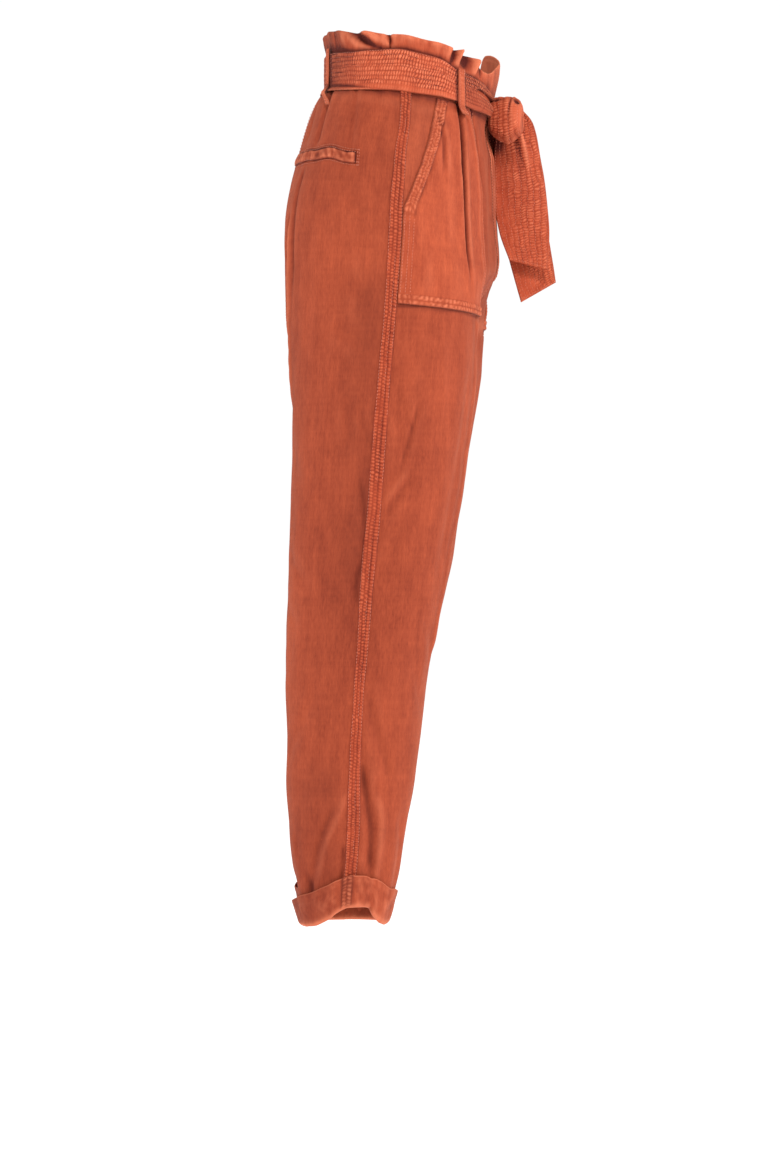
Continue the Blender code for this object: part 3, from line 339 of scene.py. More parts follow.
# folds: a trough or ridge along a line of points on a panel (level, arc from the side seam)
foldNames = ("before", "after", "depth", "fadeIn", "fadeOut", "line")
folds = {"front": (  # the pressed pleat with its lit edge, then the softer ones beside it
    (1.9, 1.6, -4.8, 6, 70, ((-10, 56), (-46, 69.5), (-83, 78.5), (-120, 88.5), (-167, 96), (-236, 99.5))),
    (2.2, 4.6, 2, 12, 130, ((-10, 60.4), (-46, 73.7), (-83, 82.7), (-120, 92.7), (-167, 100.5), (-262, 107))),
    (8, 8, -1.3, 30, 60, ((-30, 64), (-83, 68), (-130, 76), (-215, 84))),
    (1.9, 3.2, -2.1, 14, 30, ((-30, 31), (-51, 39), (-80, 49), (-112, 53))),
    (3, 5, 1.1, 14, 36, ((-34, 38), (-56, 46), (-84, 56), (-125, 60))),
    (3, 2.6, -1.5, 12, 20, ((-82, 42), (-105, 34), (-133, 26))),
    (2.4, 1.8, -3.6, 12, 110, ((-10, 74), (-34, 90), (-73, 112), (-118, 136), (-190, 147))),
    (1.9, 2.2, 1.6, 20, 110, ((-20, 70), (-64, 97), (-109, 118), (-181, 128), (-262, 131))),
    (5, 5.5, 1.2, 20, 100, ((-20, 90), (-50, 108), (-84, 130), (-124, 150), (-220, 160))),
    (6, 6, -2.2, 12, 90, ((-10, 130), (-60, 148), (-110, 164), (-160, 175))),
    (5, 5, -2.6, 12, 70, ((-10, 150), (-60, 166), (-110, 178))),
    (2.4, 2.4, -2.2, 20, 26, ((-345, 41), (-390, 32), (-435, 21))),  # thigh
    (4, 4, -1.7, 12, 16, ((-330, 10), (-359, 23), (-385, 34))),
    (4, 4, -1.6, 14, 20, ((-346, 8), (-368, 17), (-384, 24), (-415, 26))),
    (4.5, 4.5, -1.9, 12, 16, ((-424, 39), (-452, 22), (-474, 9))),
    (4.5, 4.5, 1.2, 12, 16, ((-418, 34), (-444, 17), (-462, 7))),
    (5, 5, -0.8, 12, 18, ((-486, 31), (-508, 20), (-536, 10))),
    (3, 4, 0.8, 30, 40, ((-270, 62), (-322, 66), (-370, 71))),
    (5, 5, 3, 40, 70, ((-230, 131), (-330, 139), (-400, 133), (-450, 123), (-520, 108), (-651, 98))),
    (8, 8, -1.5, 40, 60, ((-300, 112), (-390, 108), (-470, 94), (-560, 84))),
    (5, 6, -1.9, 40, 70, ((-240, 144), (-330, 152), (-400, 146), (-450, 136), (-520, 121), (-640, 110))),
    (8, 6, -1.9, 20, 40, ((-230, 168), (-262, 150), (-320, 128))),
    (8, 6, -1.6, 20, 40, ((-248, 186), (-290, 168), (-352, 156))),
    (9, 9, -1.7, 30, 40, ((-560, 60), (-600, 88), (-640, 118))),  # knee and calf
    (8, 8, -1.4, 30, 40, ((-604, 50), (-640, 70), (-690, 92))),
    (6, 6, -2.3, 24, 30, ((-645, 6), (-698, 21), (-755, 44))),
    (5.5, 4.2, -4.4, 30, 30, ((-716, 6), (-766, 14), (-800, 20), (-876, 22))),
    (4, 6, 3, 24, 16, ((-752, 24), (-788, 30), (-820, 29), (-880, 27))),
    (7, 7, -1.8, 24, 30, ((-770, 56), (-820, 62), (-878, 60))),
    (8, 8, -1.6, 30, 30, ((-700, 100), (-770, 92), (-850, 84))),
), "back": (
    (2.2, 3, -1.5, 8, 8, ((-14, 57), (-61, 56), (-98, 54))),  # the dart, then the seat
    (4, 6, 0.9, 8, 20, ((-14, 51), (-61, 50), (-100, 48))),
    (5, 4, -3.2, 8, 16, ((-14, 103), (-41, 107), (-66, 113), (-96, 114))),
    (5, 6, -2.6, 8, 30, ((-14, 140), (-50, 146), (-96, 152))),
    (6, 6, -2.2, 8, 30, ((-14, 166), (-50, 172), (-110, 180))),
    (3.6, 3, -3, 16, 50, ((-110, 128), (-138, 134), (-179, 130), (-250, 127))),
    (3, 3, 2.6, 30, 90, ((-150, 139), (-203, 138), (-283, 134), (-387, 138))),
    (4, 4, 1, 30, 60, ((-170, 152), (-250, 156), (-330, 164))),
    (3, 3, -3, 30, 80, ((-150, 146), (-240, 144), (-330, 142))),
    (8, 8, -2, 16, 14, ((-140, 58), (-151, 38), (-158, 20))),
    (8, 8, -1.8, 14, 12, ((-186, 44), (-195, 26), (-203, 9))),
    (8, 8, -2, 14, 12, ((-221, 56), (-234, 36), (-244, 17))),
    (9, 9, -2.2, 18, 14, ((-264, 62), (-286, 33), (-300, 9))),
    (6, 6, -2, 14, 16, ((-342, 37), (-370, 33), (-400, 31))),
    (5, 5, -1.8, 12, 14, ((-352, 24), (-380, 15), (-402, 7))),
    (5, 3.6, -2.7, 30, 16, ((-418, 20), (-469, 8), (-511, 5), (-532, 11), (-566, 8))),
    (9, 9, -1.8, 30, 40, ((-330, 150), (-400, 120), (-450, 84))),
    (9, 9, -1.7, 30, 40, ((-250, 176), (-300, 158), (-360, 146))),
    (8, 8, -1.9, 24, 30, ((-500, 120), (-530, 84), (-548, 52))),  # behind the knee
    (8, 8, -1.6, 24, 30, ((-548, 130), (-574, 96), (-590, 66))),
    (9, 9, -1.5, 24, 40, ((-640, 40), (-690, 66), (-740, 98))),
    (4.6, 6, 2.5, 26, 26, ((-748, 5), (-792, 19), (-823, 30), (-866, 35))),
    (6, 4.6, -2.7, 26, 26, ((-762, 15), (-800, 31), (-830, 41), (-874, 46))),
    (6, 6, 1.6, 24, 26, ((-796, 80), (-838, 64), (-878, 56))),
    (8, 8, -1.6, 24, 26, ((-790, 104), (-838, 92), (-878, 84))),
    (4, 3, -3, 24, 6, ((-836, 54), (-860, 46), (-884, 41))),
    (15, 15, -2.6, 24, 4, ((-835, 84), (-892, 84))),
    (2.6, 2.6, -2.2, 16, 6, ((-822, 10), (-850, 8), (-884, 9))),
)}


def rounded(line):  # corners of a line cut twice
    for _ in range(2):
        early, late = line[:-1] * 0.75 + line[1:] * 0.25, line[:-1] * 0.25 + line[1:] * 0.75
        line = np.concatenate([line[:1], np.stack([early, late], axis=1).reshape(-1, 2), line[-1:]])
    return line


def foldSums(side, face, level, arc):  # lift of the cloth, and the painted shade in its troughs and painted highlight on its ridges
    level, arc = np.broadcast_arrays(np.asarray(level, float), np.asarray(arc, float))
    total, dark, lit = np.zeros(level.shape), np.zeros(level.shape), np.zeros(level.shape)
    first = 0 if face == "front" else len(folds["front"])
    for index, row in enumerate(folds[face], first):
        fold = dict(zip(foldNames, row))
        line, depth, widest = rounded(np.array(fold["line"], float)), fold["depth"], max(fold["before"], fold["after"])
        if side == "left":  # the other leg has folds of the same kind, not the same ones
            line = line + np.array([11.0 * math.sin(index * 1.9), 3.5 * math.sin(index * 2.7)])
            depth *= 0.86 + 0.26 * math.sin(index * 1.3)
        low, high = line.min(axis=0) - 2.6 * widest, line.max(axis=0) + 2.6 * widest  # nothing is left further off
        inside = (level > low[0]) & (level < high[0]) & (arc > low[1]) & (arc < high[1])
        if not inside.any():
            continue
        here, there = level[inside], arc[inside]
        near = np.full(here.shape, 1e9)
        signed, done = np.zeros(here.shape), np.zeros(here.shape)
        gone = lengthAlong(line)
        for i in range(len(line) - 1):
            way = line[i + 1] - line[i]
            size = np.hypot(*way)
            t = limit(((here - line[i, 0]) * way[0] + (there - line[i, 1]) * way[1]) / size ** 2)
            offLevel, offArc = here - line[i, 0] - way[0] * t, there - line[i, 1] - way[1] * t
            far = np.hypot(offLevel, offArc)
            better = far < near
            near = np.where(better, far, near)
            signed = np.where(better, offArc, signed)
            done = np.where(better, gone[i] + t * size, done)
        strength = ease(done / fold["fadeIn"]) * ease((gone[-1] - done) / fold["fadeOut"])
        strength = strength * (1 + 0.14 * wobble(done / 27, 0, index))
        width = np.where(signed < 0, fold["before"], fold["after"])
        total[inside] += depth * strength * hump(near, 0, width)
        sharp = min(1.0, (3.3 / widest) ** 2) * limit(abs(depth) / 2.2 - 0.7)  # only narrow, deep folds get painted shade in a trough and a painted highlight on a ridge
        mark = lit if depth > 0 else dark
        mark[inside] += sharp * strength * hump(near, 0, np.maximum(0.75 * width, 1.6))
    fade = ease((-14.0 - level) / 10.0) * ease((arc - 1.0) / 8.0)
    return total * fade, dark * fade, lit * fade


def drawnIn(face, level, arc):  # the cloth is pulled in and shaded under the knot
    fromMiddle = rowLength(level, "front") - arc
    return ease((66.0 - fromMiddle) / 46.0) * ease((-14.0 - level) / 18.0) * (face == "front")


def restless(side, face, level, arc):  # small unevenness of a worn, washed cloth
    seed = {"front": 3, "back": 11}[face] + (40 if side == "left" else 0)
    swayed = arc + 3.0 * wobble(arc / 60, level / 90, seed + 5)
    lift = 0.60 * wobble(swayed / 19, level / 75, seed) + 0.30 * wobble(swayed / 9.5, level / 36, seed + 1)
    lift += 0.16 * wobble(arc / 11.0, level / 15.0, seed + 2)
    toHem = ease((-690.0 - level) / 120.0)
    lift += toHem * 0.9 * wobble((arc + 0.4 * level) / 26, level / 48, seed + 3)
    nearSeam = np.exp(-np.maximum(arc - 5.5, 0.0) / 9.0)
    lift += nearSeam * 0.42 * wobble(arc / 9, level / 4.2, seed + 4)
    return lift * ease(arc / 5.0) - 4.6 * drawnIn(face, level, arc) * ease((level + 63.0) / 30.0)


def lay(side, face, level, arc, lift=0.0, folded=True):  # points and outward directions on a panel
    level, arc, lift = np.broadcast_arrays(np.asarray(level, float), np.asarray(arc, float), np.asarray(lift, float))
    form = forms[face]
    row = np.clip((form["level"][0] - level) / formStep, 0, len(form["level"]) - 1.001)
    column = limit(arc / rowLength(level, face)) * (formPoints - 1.001)
    r, c = row.astype(int), column.astype(int)
    t, u = (row - r)[..., None], (column - c)[..., None]
    grid = form["grid"]
    here = ((grid[r, c] * (1 - u) + grid[r, c + 1] * u) * (1 - t)
            + (grid[r + 1, c] * (1 - u) + grid[r + 1, c + 1] * u) * t)
    points, out = here[..., :3].copy(), unit(here[..., 3:])
    signed = arc if face == "front" else -arc
    arch = hemArch * ease((signed + 51.0) / 44.0) * ease((50.0 - signed) / 26.0)
    points[..., 2] = level + lean(level) * points[..., 1] + ease((-770.0 - level) / 90.0) * arch
    if folded:
        lift = lift + foldSums(side, face, level, arc)[0] + restless(side, face, level, arc)
    points += out * lift[..., None]
    if side == "left":
        points[..., 0] *= -1
        out = out * np.array([-1.0, 1.0, 1.0])
        free = ease((forkLevel - level) / 55.0)
        share = free + (1 - free) * ease(np.abs(points[..., 0]) / 75.0)
        points[..., 1] -= fromTable(stride, level) * share
    return points, out


def layRound(side, level, signed, lift=0.0, folded=True):  # ahead of the side seam is above zero
    level, signed = np.broadcast_arrays(np.asarray(level, float), np.asarray(signed, float))
    ahead = lay(side, "front", level, np.maximum(signed, 0.0), lift, folded)
    astern = lay(side, "back", level, np.maximum(-signed, 0.0), lift, folded)
    pick = (signed >= 0)[..., None]
    return np.where(pick, ahead[0], astern[0]), np.where(pick, ahead[1], astern[1])


backWaist = float(rowLength(0.0, "back"))
halfWaist = backWaist + float(rowLength(0.0, "front"))
beltEdgeNames = ("part", "top", "bottom")
beltEdges = np.array((
    (0, 13, -28), (0.1, 13, -28.5), (0.2, 12.5, -28.5), (0.3, 13.5, -27.5), (0.4, 18, -24.5),
    (0.5, 23.5, -21), (0.6, 22.5, -18), (0.66, 17.5, -17), (0.7, 15.5, -19), (0.75, 14.5, -20),
    (0.8, 11.5, -20), (0.85, 6.8, -19.5), (0.9, 2, -19), (0.95, -1, -18.5), (1, -2, -18),
))  # the belt rides low at the back and is drawn down and together to the knot


def beltEdge(part, name):
    return fromTable(beltEdges, part, beltEdgeNames.index(name))


def fromBack(turn):  # 0 at the centre back, 1 at the centre front
    turn = np.mod(turn, 1.0)
    return np.minimum(turn, 1.0 - turn) * 2


def underBelt(level, part):  # the shade under the belt's lower edge
    return 0.8 * hump(level - beltEdge(part, "bottom"), -1.5, 4.0)


def ringPoint(turn, height, out):  # turn 0 centre back, 0.25 right, 0.5 centre front, 0.75 left
    turn, height, out = np.broadcast_arrays(*(np.asarray(v, float) for v in (turn, height, out)))
    points, way = layRound("right", 0.0, fromBack(turn) * halfWaist - backWaist, out, folded=False)
    mirror = np.where((np.mod(turn, 1.0) > 0.5)[..., None], np.array([-1.0, 1.0, 1.0]), 1.0)
    points, way = points * mirror, way * mirror
    points[..., 2] += height
    return points, way


# meshes
def gridFaces(rows, columns, closed=False):
    r, c = crossed(np.arange(rows - 1), np.arange(columns if closed else columns - 1))
    d = (c + 1) % columns
    return np.stack([r * columns + c, r * columns + d, (r + 1) * columns + d, (r + 1) * columns + c],
                    axis=-1).reshape(-1, 4)


def placed(name, data):
    made = bpy.data.objects.new(name, data)
    bpy.context.scene.collection.objects.link(made)
    return made


def meshObject(name, points, faces, material, flat, marks, rims):
    a, b, c, d = (points[faces[:, i]] for i in range(4))
    if (np.cross(b - a, c - a) * a).sum() + (np.cross(c - a, d - a) * a).sum() < 0:  # inside out
        faces, rims = faces[:, ::-1], [rim[::-1] for rim in rims]
    corners = np.concatenate([faces.ravel()] + [np.array(rim, int) for rim in rims])
    sizes = [4] * len(faces) + [len(rim) for rim in rims]
    mesh = bpy.data.meshes.new(name)
    mesh.vertices.add(len(points))
    mesh.vertices.foreach_set("co", (points * mm).ravel())
    mesh.loops.add(len(corners))
    mesh.loops.foreach_set("vertex_index", corners)
    mesh.polygons.add(len(sizes))
    mesh.polygons.foreach_set("loop_start", np.cumsum([0] + sizes[:-1]))
    mesh.update(calc_edges=True)
    mesh.validate()
    mesh.shade_smooth()
    mesh.uv_layers.new(name="cloth").data.foreach_set("uv", (flat[corners] * mm).ravel())
    for key, values in marks.items():
        mesh.attributes.new(key, "FLOAT", "POINT").data.foreach_set("value", values)
    mesh.materials.append(material)
    return placed(name, mesh)


def standing(points, out, reach, closed):  # how far each point stands over the mean of those round it
    mean = points
    for axis in (0, 1):
        wrap = "wrap" if closed and axis == 1 else "edge"
        for _ in range(2):
            wide = np.pad(mean, [(reach, reach) if i == axis else (0, 0) for i in range(3)], mode=wrap)
            sums = np.cumsum(np.concatenate([np.zeros_like(np.take(wide, [0], axis)), wide], axis=axis), axis=axis)
            size = 2 * reach + 1
            long = sums.shape[axis]
            mean = (np.take(sums, range(size, long), axis) - np.take(sums, range(long - size), axis)) / size
    return ((points - mean) * out).sum(-1)


def between(count, picks):  # where each of the rows lies among the picked ones
    first = np.clip(np.searchsorted(picks, np.arange(count), side="right") - 1, 0, len(picks) - 2)
    return first, (np.arange(count) - picks[first]) / (picks[first + 1] - picks[first])


def keptUnder(bottom, out, half, down, across, closed):
    # the picked points of the hidden side, sunk where a fold runs between them
    lower = bottom[np.ix_(down, across)]
    wide, edges = len(across), np.array(across + [bottom.shape[1]] if closed else across)
    around = np.concatenate([lower, lower[:, :1]], axis=1) if closed else lower
    (i, u), (j, v) = between(bottom.shape[0], np.array(down)), between(bottom.shape[1], edges)
    u, v = u[:, None, None], v[None, :, None]
    early, late = (around[i][:, k] * (1 - u) + around[i + 1][:, k] * u for k in (j, j + 1))
    proud = np.clip(((early * (1 - v) + late * v - bottom) * out).sum(-1) - half * 0.7, 0.0, None)
    sunk = np.zeros(lower.shape[:2])
    for a in (0, 1):
        for b in (0, 1):
            np.maximum.at(sunk, ((i + a)[:, None], ((j + b) % wide)[None]), proud)
    return lower - out[np.ix_(down, across)] * sunk[..., None]


def shell(name, outer, out, thick, material, flat, wornAndLit, paintedShade, closed=False, soft=1, skip=3, back=None, wear=1.0,
          hiddenSideLight=0.0):  # a cloth wall under the outer points, with rounded rims
    rows, columns = outer.shape[:2]
    # points standing proud get lighter, for wear and a painted highlight; hollows get painted shade
    proud = standing(outer, out, 3, closed) * wear
    wornAndLit, paintedShade = wornAndLit + np.clip(proud - 0.05, 0, 0.8), paintedShade + np.clip(-proud - 0.05, 0, 0.9)
    half = np.full((rows, columns), thick / 2)
    for ring in range(soft):
        share = (0.45, 0.85)[ring] if soft > 1 else 0.6
        half[[ring, -1 - ring]] = np.minimum(half[[ring, -1 - ring]], thick / 2 * share)
        if not closed:
            half[:, [ring, -1 - ring]] = np.minimum(half[:, [ring, -1 - ring]], thick / 2 * share)
    middle = outer - out * thick / 2
    top, bottom = middle + out * half[..., None], middle - out * half[..., None]
    if back is not None:
        top, bottom = outer, back
    down = list(range(0, rows - 1, skip)) + [rows - 1]  # the hidden side has fewer points
    across = list(range(0, columns, skip)) if closed else list(range(0, columns - 1, skip)) + [columns - 1]
    shift, wide = rows * columns, len(across)
    faces = np.concatenate([gridFaces(rows, columns, closed), shift + gridFaces(len(down), wide, closed)[:, ::-1]])
    rims, last = [], (rows - 1) * columns
    for j, a in enumerate(across if closed else across[:-1]):
        k = (j + 1) % wide
        run = [c % columns for c in range(a, (across[k] if k else columns) + 1)]
        low = shift + (len(down) - 1) * wide
        rims += [run[::-1] + [shift + j, shift + k], [last + c for c in run] + [low + k, low + j]]
    for i, a in enumerate([] if closed else down[:-1]):
        run = [r * columns for r in range(a, down[i + 1] + 1)]
        near, far = shift + i * wide, shift + (i + 1) * wide
        rims += [run + [far, near], [r + columns - 1 for r in run[::-1]] + [near + wide - 1, far + wide - 1]]
    pick = np.ix_(down, across)
    lower = bottom[pick] if back is not None or skip == 1 else keptUnder(bottom, out, half, down, across, closed)
    seen = 0.0 if back is None else 1.0  # the other side of a free end is marked as well

    def both(upper, under, size):
        return np.concatenate([upper.reshape(-1, size), under.reshape(-1, size)])
    flat = np.stack(np.broadcast_arrays(*flat, wornAndLit)[:2], axis=-1)
    # the hidden side gets the painted light passed in for it
    marks = {"wornAndLit": both(wornAndLit, (seen * wornAndLit + hiddenSideLight)[pick], 1).ravel(),
             "paintedShade": both(paintedShade, seen * paintedShade[pick], 1).ravel()}
    return meshObject(name, both(top, lower, 3), faces, material, both(flat, flat[pick], 2), marks, rims)


def clothArea(outer, closed=False):  # in square metres
    if closed:
        outer = np.concatenate([outer, outer[:, :1]], axis=1)
    a, b, c, d = outer[:-1, :-1], outer[:-1, 1:], outer[1:, 1:], outer[1:, :-1]
    area = np.linalg.norm(np.cross(b - a, c - a), axis=-1) + np.linalg.norm(np.cross(c - a, d - a), axis=-1)
    return float(area.sum()) / 2 * mm * mm


def declare(piece, node, area):
    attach(piece, "root")
    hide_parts(node)


def pucker(along, across, rows, pitch, seed, slant=0.35, ditch=0.28):
    # little pillows drawn up between rows of stitches, 0 in a groove and 1 on a crest
    along, across = np.broadcast_arrays(along, across)
    height = np.full(across.shape, ditch * 0.6)
    drift = 0.5 * pitch * wobble(along / (3.1 * pitch), across / 9, seed)
    drift = drift + 0.22 * pitch * wobble(along / pitch, across / 2.6, seed + 1)
    for i in range(len(rows) - 1):
        t = (across - rows[i]) / (rows[i + 1] - rows[i])
        inside, t = (t >= 0) & (t <= 1), limit(t)
        pillow = (4 * t * (1 - t)) ** 0.6
        phase = 2.3 * i + 0.9 * wobble(i * 0.7, 0, seed)
        wave = np.sin(2 * math.pi * (along + drift + slant * (across - rows[i])) / pitch + phase)
        strength = 0.72 + 0.38 * wobble(along / (1.3 * pitch), i * 2.7, seed + 20 + i)
        crest = ditch + (1 - ditch) * strength * (0.5 + 0.5 * wave) ** 0.85
        height = np.where(inside, ditch * 0.6 + pillow * (crest - ditch * 0.6), height)
    return np.clip(height, 0.0, 1.1)


# stitches: one tree of geometry nodes sets threads along lines
def makeStitchTree():
    tree = bpy.data.node_groups.new("stitches along lines", "GeometryNodeTree")
    for name, kind in (("Geometry", "Geometry"), ("Spacing", "Float"), ("Length", "Float"), ("Thickness", "Float"),
                       ("Tilt", "Float"), ("Seed", "Int"), ("Thread", "Material")):
        tree.interface.new_socket(name, in_out="INPUT", socket_type="NodeSocket" + kind)
    tree.interface.new_socket("Geometry", in_out="OUTPUT", socket_type="NodeSocketGeometry")
    made = {name: tree.nodes.new(kind) for name, kind in (
        ("given", "NodeGroupInput"), ("result", "NodeGroupOutput"), ("curve", "GeometryNodeMeshToCurve"),
        ("points", "GeometryNodeCurveToPoints"), ("ball", "GeometryNodeMeshUVSphere"),
        ("smooth", "GeometryNodeSetShadeSmooth"), ("size", "ShaderNodeCombineXYZ"),
        ("put", "GeometryNodeInstanceOnPoints"), ("tip", "FunctionNodeRandomValue"),
        ("turn", "GeometryNodeRotateInstances"), ("low", "ShaderNodeVectorMath"), ("high", "ShaderNodeVectorMath"),
        ("real", "GeometryNodeRealizeInstances"), ("paint", "GeometryNodeSetMaterial"))}
    made["points"].mode, made["tip"].data_type = "LENGTH", "FLOAT_VECTOR"
    made["low"].operation = made["high"].operation = "SCALE"
    for node, socket, value in (("ball", "Radius", 0.5), ("ball", "Segments", 4), ("ball", "Rings", 3),
                                ("low", 0, (-1, -1, -1)), ("high", 0, (1, 1, 1))):
        made[node].inputs[socket].default_value = value
    for a, out, b, into in (
            ("given", "Geometry", "curve", "Mesh"), ("curve", "Curve", "points", "Curve"),
            ("given", "Spacing", "points", "Length"), ("points", "Points", "put", "Points"),
            ("ball", "Mesh", "smooth", "Geometry"), ("smooth", "Geometry", "put", "Instance"),
            ("points", "Rotation", "put", "Rotation"), ("given", "Thickness", "size", 0),
            ("given", "Thickness", "size", 1), ("given", "Length", "size", 2), ("size", 0, "put", "Scale"),
            ("given", "Tilt", "low", "Scale"), ("given", "Tilt", "high", "Scale"), ("low", 0, "tip", "Min"),
            ("high", 0, "tip", "Max"), ("given", "Seed", "tip", "Seed"), ("put", "Instances", "turn", "Instances"),
            ("tip", 0, "turn", "Rotation"), ("turn", "Instances", "real", "Geometry"),
            ("real", "Geometry", "paint", "Geometry"), ("given", "Thread", "paint", "Material"),
            ("paint", "Geometry", "result", "Geometry")):
        tree.links.new(made[a].outputs[out], made[b].inputs[into])
    return tree


stitchTree = makeStitchTree()


def stitches(name, lines, spacing, length, thick, seed):
    points = np.concatenate(lines) * mm
    ends = np.cumsum([len(line) for line in lines])
    pairs = [(i, i + 1) for i in range(len(points) - 1) if i + 1 not in ends]
    path = bpy.data.meshes.new(name)
    path.from_pydata([tuple(p) for p in points], pairs, [])
    made = placed(name, path)
    sewn = made.modifiers.new("stitches", "NODES")
    sewn.node_group = stitchTree
    values = {"Spacing": spacing * mm, "Length": length * mm, "Thickness": thick * mm, "Tilt": 0.1,
              "Seed": seed, "Thread": thread}
    for item in stitchTree.interface.items_tree:
        if item.item_type == "SOCKET" and item.in_out == "INPUT" and item.name in values:
            sewn[item.identifier] = values[item.name]
    plain = bpy.data.meshes.new_from_object(made.evaluated_get(bpy.context.evaluated_depsgraph_get()))
    made.modifiers.remove(sewn)
    made.data = plain
    bpy.data.meshes.remove(path)
    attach(made, "root")


print("form and tools ready")


# patch pockets: their look is needed for the shade they cast on the panels
pocketLook = {"rise": 1.0, "mouthBand": 12.0, "edgeBand": 7.5, "footBand": 11.0, "top": -20.0,
              "footNear": -250.0, "footFar": -257.5, "depth": 1.5, "pitch": 3.9, "thick": 0.9}


def pocketFoot(share, bow=1.2):  # level of the pocket's lower edge
    slant = (pocketLook["footFar"] - pocketLook["footNear"]) * share
    return pocketLook["footNear"] + slant - bow * np.sin(math.pi * share)


# leg panels
panelLook = {"rowStep": 2.9, "frontColumns": 126, "backColumns": 108, "thick": 1.1, "pleatsAt": 0.36, "seamRow": 4.2}


def panelShares(face):  # the columns stand closer round the pressed pleats of the front
    place = np.linspace(0.0, 1.0, 400)
    dense = 1 + 1.6 * hump(place, panelLook["pleatsAt"], 0.16) * (face == "front")
    gone = np.concatenate([[0.0], np.cumsum(dense[1:] + dense[:-1])])
    return np.interp(np.linspace(0.0, 1.0, panelLook[face + "Columns"]), gone / gone[-1], place)


def makePanel(side, face):
    look, atFront = panelLook, face == "front"
    levels = np.arange(bandBottom - 0.5, hemLevel + panelAboveFold - 6.0, -look["rowStep"])
    level, shares = crossed(levels, panelShares(face))
    total = rowLength(level, face)
    arc = shares * total
    fromInner = total - arc
    dip = -0.9 * hump(fromInner, 0, 1.6)  # the centre and inner seams sink in
    dip += 0.5 * hump(fromInner, look["seamRow"], 2.6) * (0.6 + 0.4 * wobble(level / 5, 0, 77))
    outer, out = lay(side, face, level, arc, dip)
    outer[(level > forkLevel) & (shares > 0.999), 0] = 0.0  # the centre seam stays in the middle
    _, dark, lit = foldSums(side, face, level, arc)
    part = (backWaist + (arc if atFront else -arc)) / halfWaist
    # painted shade under the belt's lower edge, stronger towards the knot
    belowBelt = underBelt(level, part) * (0.7 + 0.3 * wobble(arc / 9, 0, 31)) * (1 + 0.6 * ease((part - 0.67) / 0.04))
    mouth, edge = frontLine(level, "mouth"), frontLine(level, "pocketEdge")
    along = (arc - mouth) / (edge - mouth)
    footShadow = 0.75 * hump(level - pocketFoot(along, 0.0), -1.6, 1.9) * ((along > -0.02) & (along < 1.0)) * atFront
    if atFront:  # painted shade: darker and redder past the pocket, where the knot and tail shade the front
        paintedAreaShade = 0.12 * ease((arc - edge - 1) / 5) * ease((level + 300) / 60)
    else:  # painted shade: darker beside the seam, down to the knee, and on the calf
        paintedAreaShade = 0.30 * ease((arc + 12) / 20) * ease((62 - arc) / 48)
        paintedAreaShade *= ease((-185 - level) / 70) * ease((level + 640) / 130)
        paintedAreaShade += 0.22 * ease((arc - 6) / 16) * ease((86 - arc) / 40) * ease((-700 - level) / 60)
    paintedAreaShade = paintedAreaShade * (1 + 0.35 * wobble(arc / 15, level / 44, 88))
    facing = 0.11 * ease((mouth - arc) / 2) * ease((level + 196) / 20) * atFront
    # lighter on lit fold ridges (painted highlight) and on the ridge by the inner seam
    wornAndLit = limit(lit) * 0.55 + 0.4 * hump(fromInner, look["seamRow"], 2.2) + facing
    # painted shade in fold troughs, in the centre and inner seams, under the belt and the pocket's foot, and over the
    # areas above
    paintedShade = np.clip(dark, 0, 1.1) + 0.8 * hump(fromInner, 0, 1.8) + belowBelt + footShadow + paintedAreaShade
    # painted shade under the knot
    paintedShade += 0.75 * drawnIn(face, level, arc) * ease((level + 96.0) / 50.0)
    name = face.capitalize() + "_panel_" + side
    piece = shell(name, outer, out, look["thick"], cloth, (arc, level), wornAndLit, paintedShade, wear=0.12)
    declare(piece, face + "_" + side,
            clothArea(outer) * (1.03 if atFront else 1.01))


for side in sides:
    for face in ("front", "back"):
        makePanel(side, face)
print("leg panels made")


# raised side seams with three rows of stitches
seamLook = {"lift": 2.0, "pitch": 3.4, "depth": 1.35, "rowStep": 0.95, "columns": 16, "thick": 0.9, "rest": 0.35,
            "rows": (-0.84, 0.84, 0.16)}
seamHalf = np.array(((0, 6), (-60, 5.6), (-110, 6.5), (-190, 7.2), (-260, 6.6), (-340, 7), (-425, 7.6), (-500, 7.8),
                     (-560, 7), (-610, 6.2), (-660, 5.6), (-720, 6), (-790, 7), (-905, 6.2)))  # level, half width


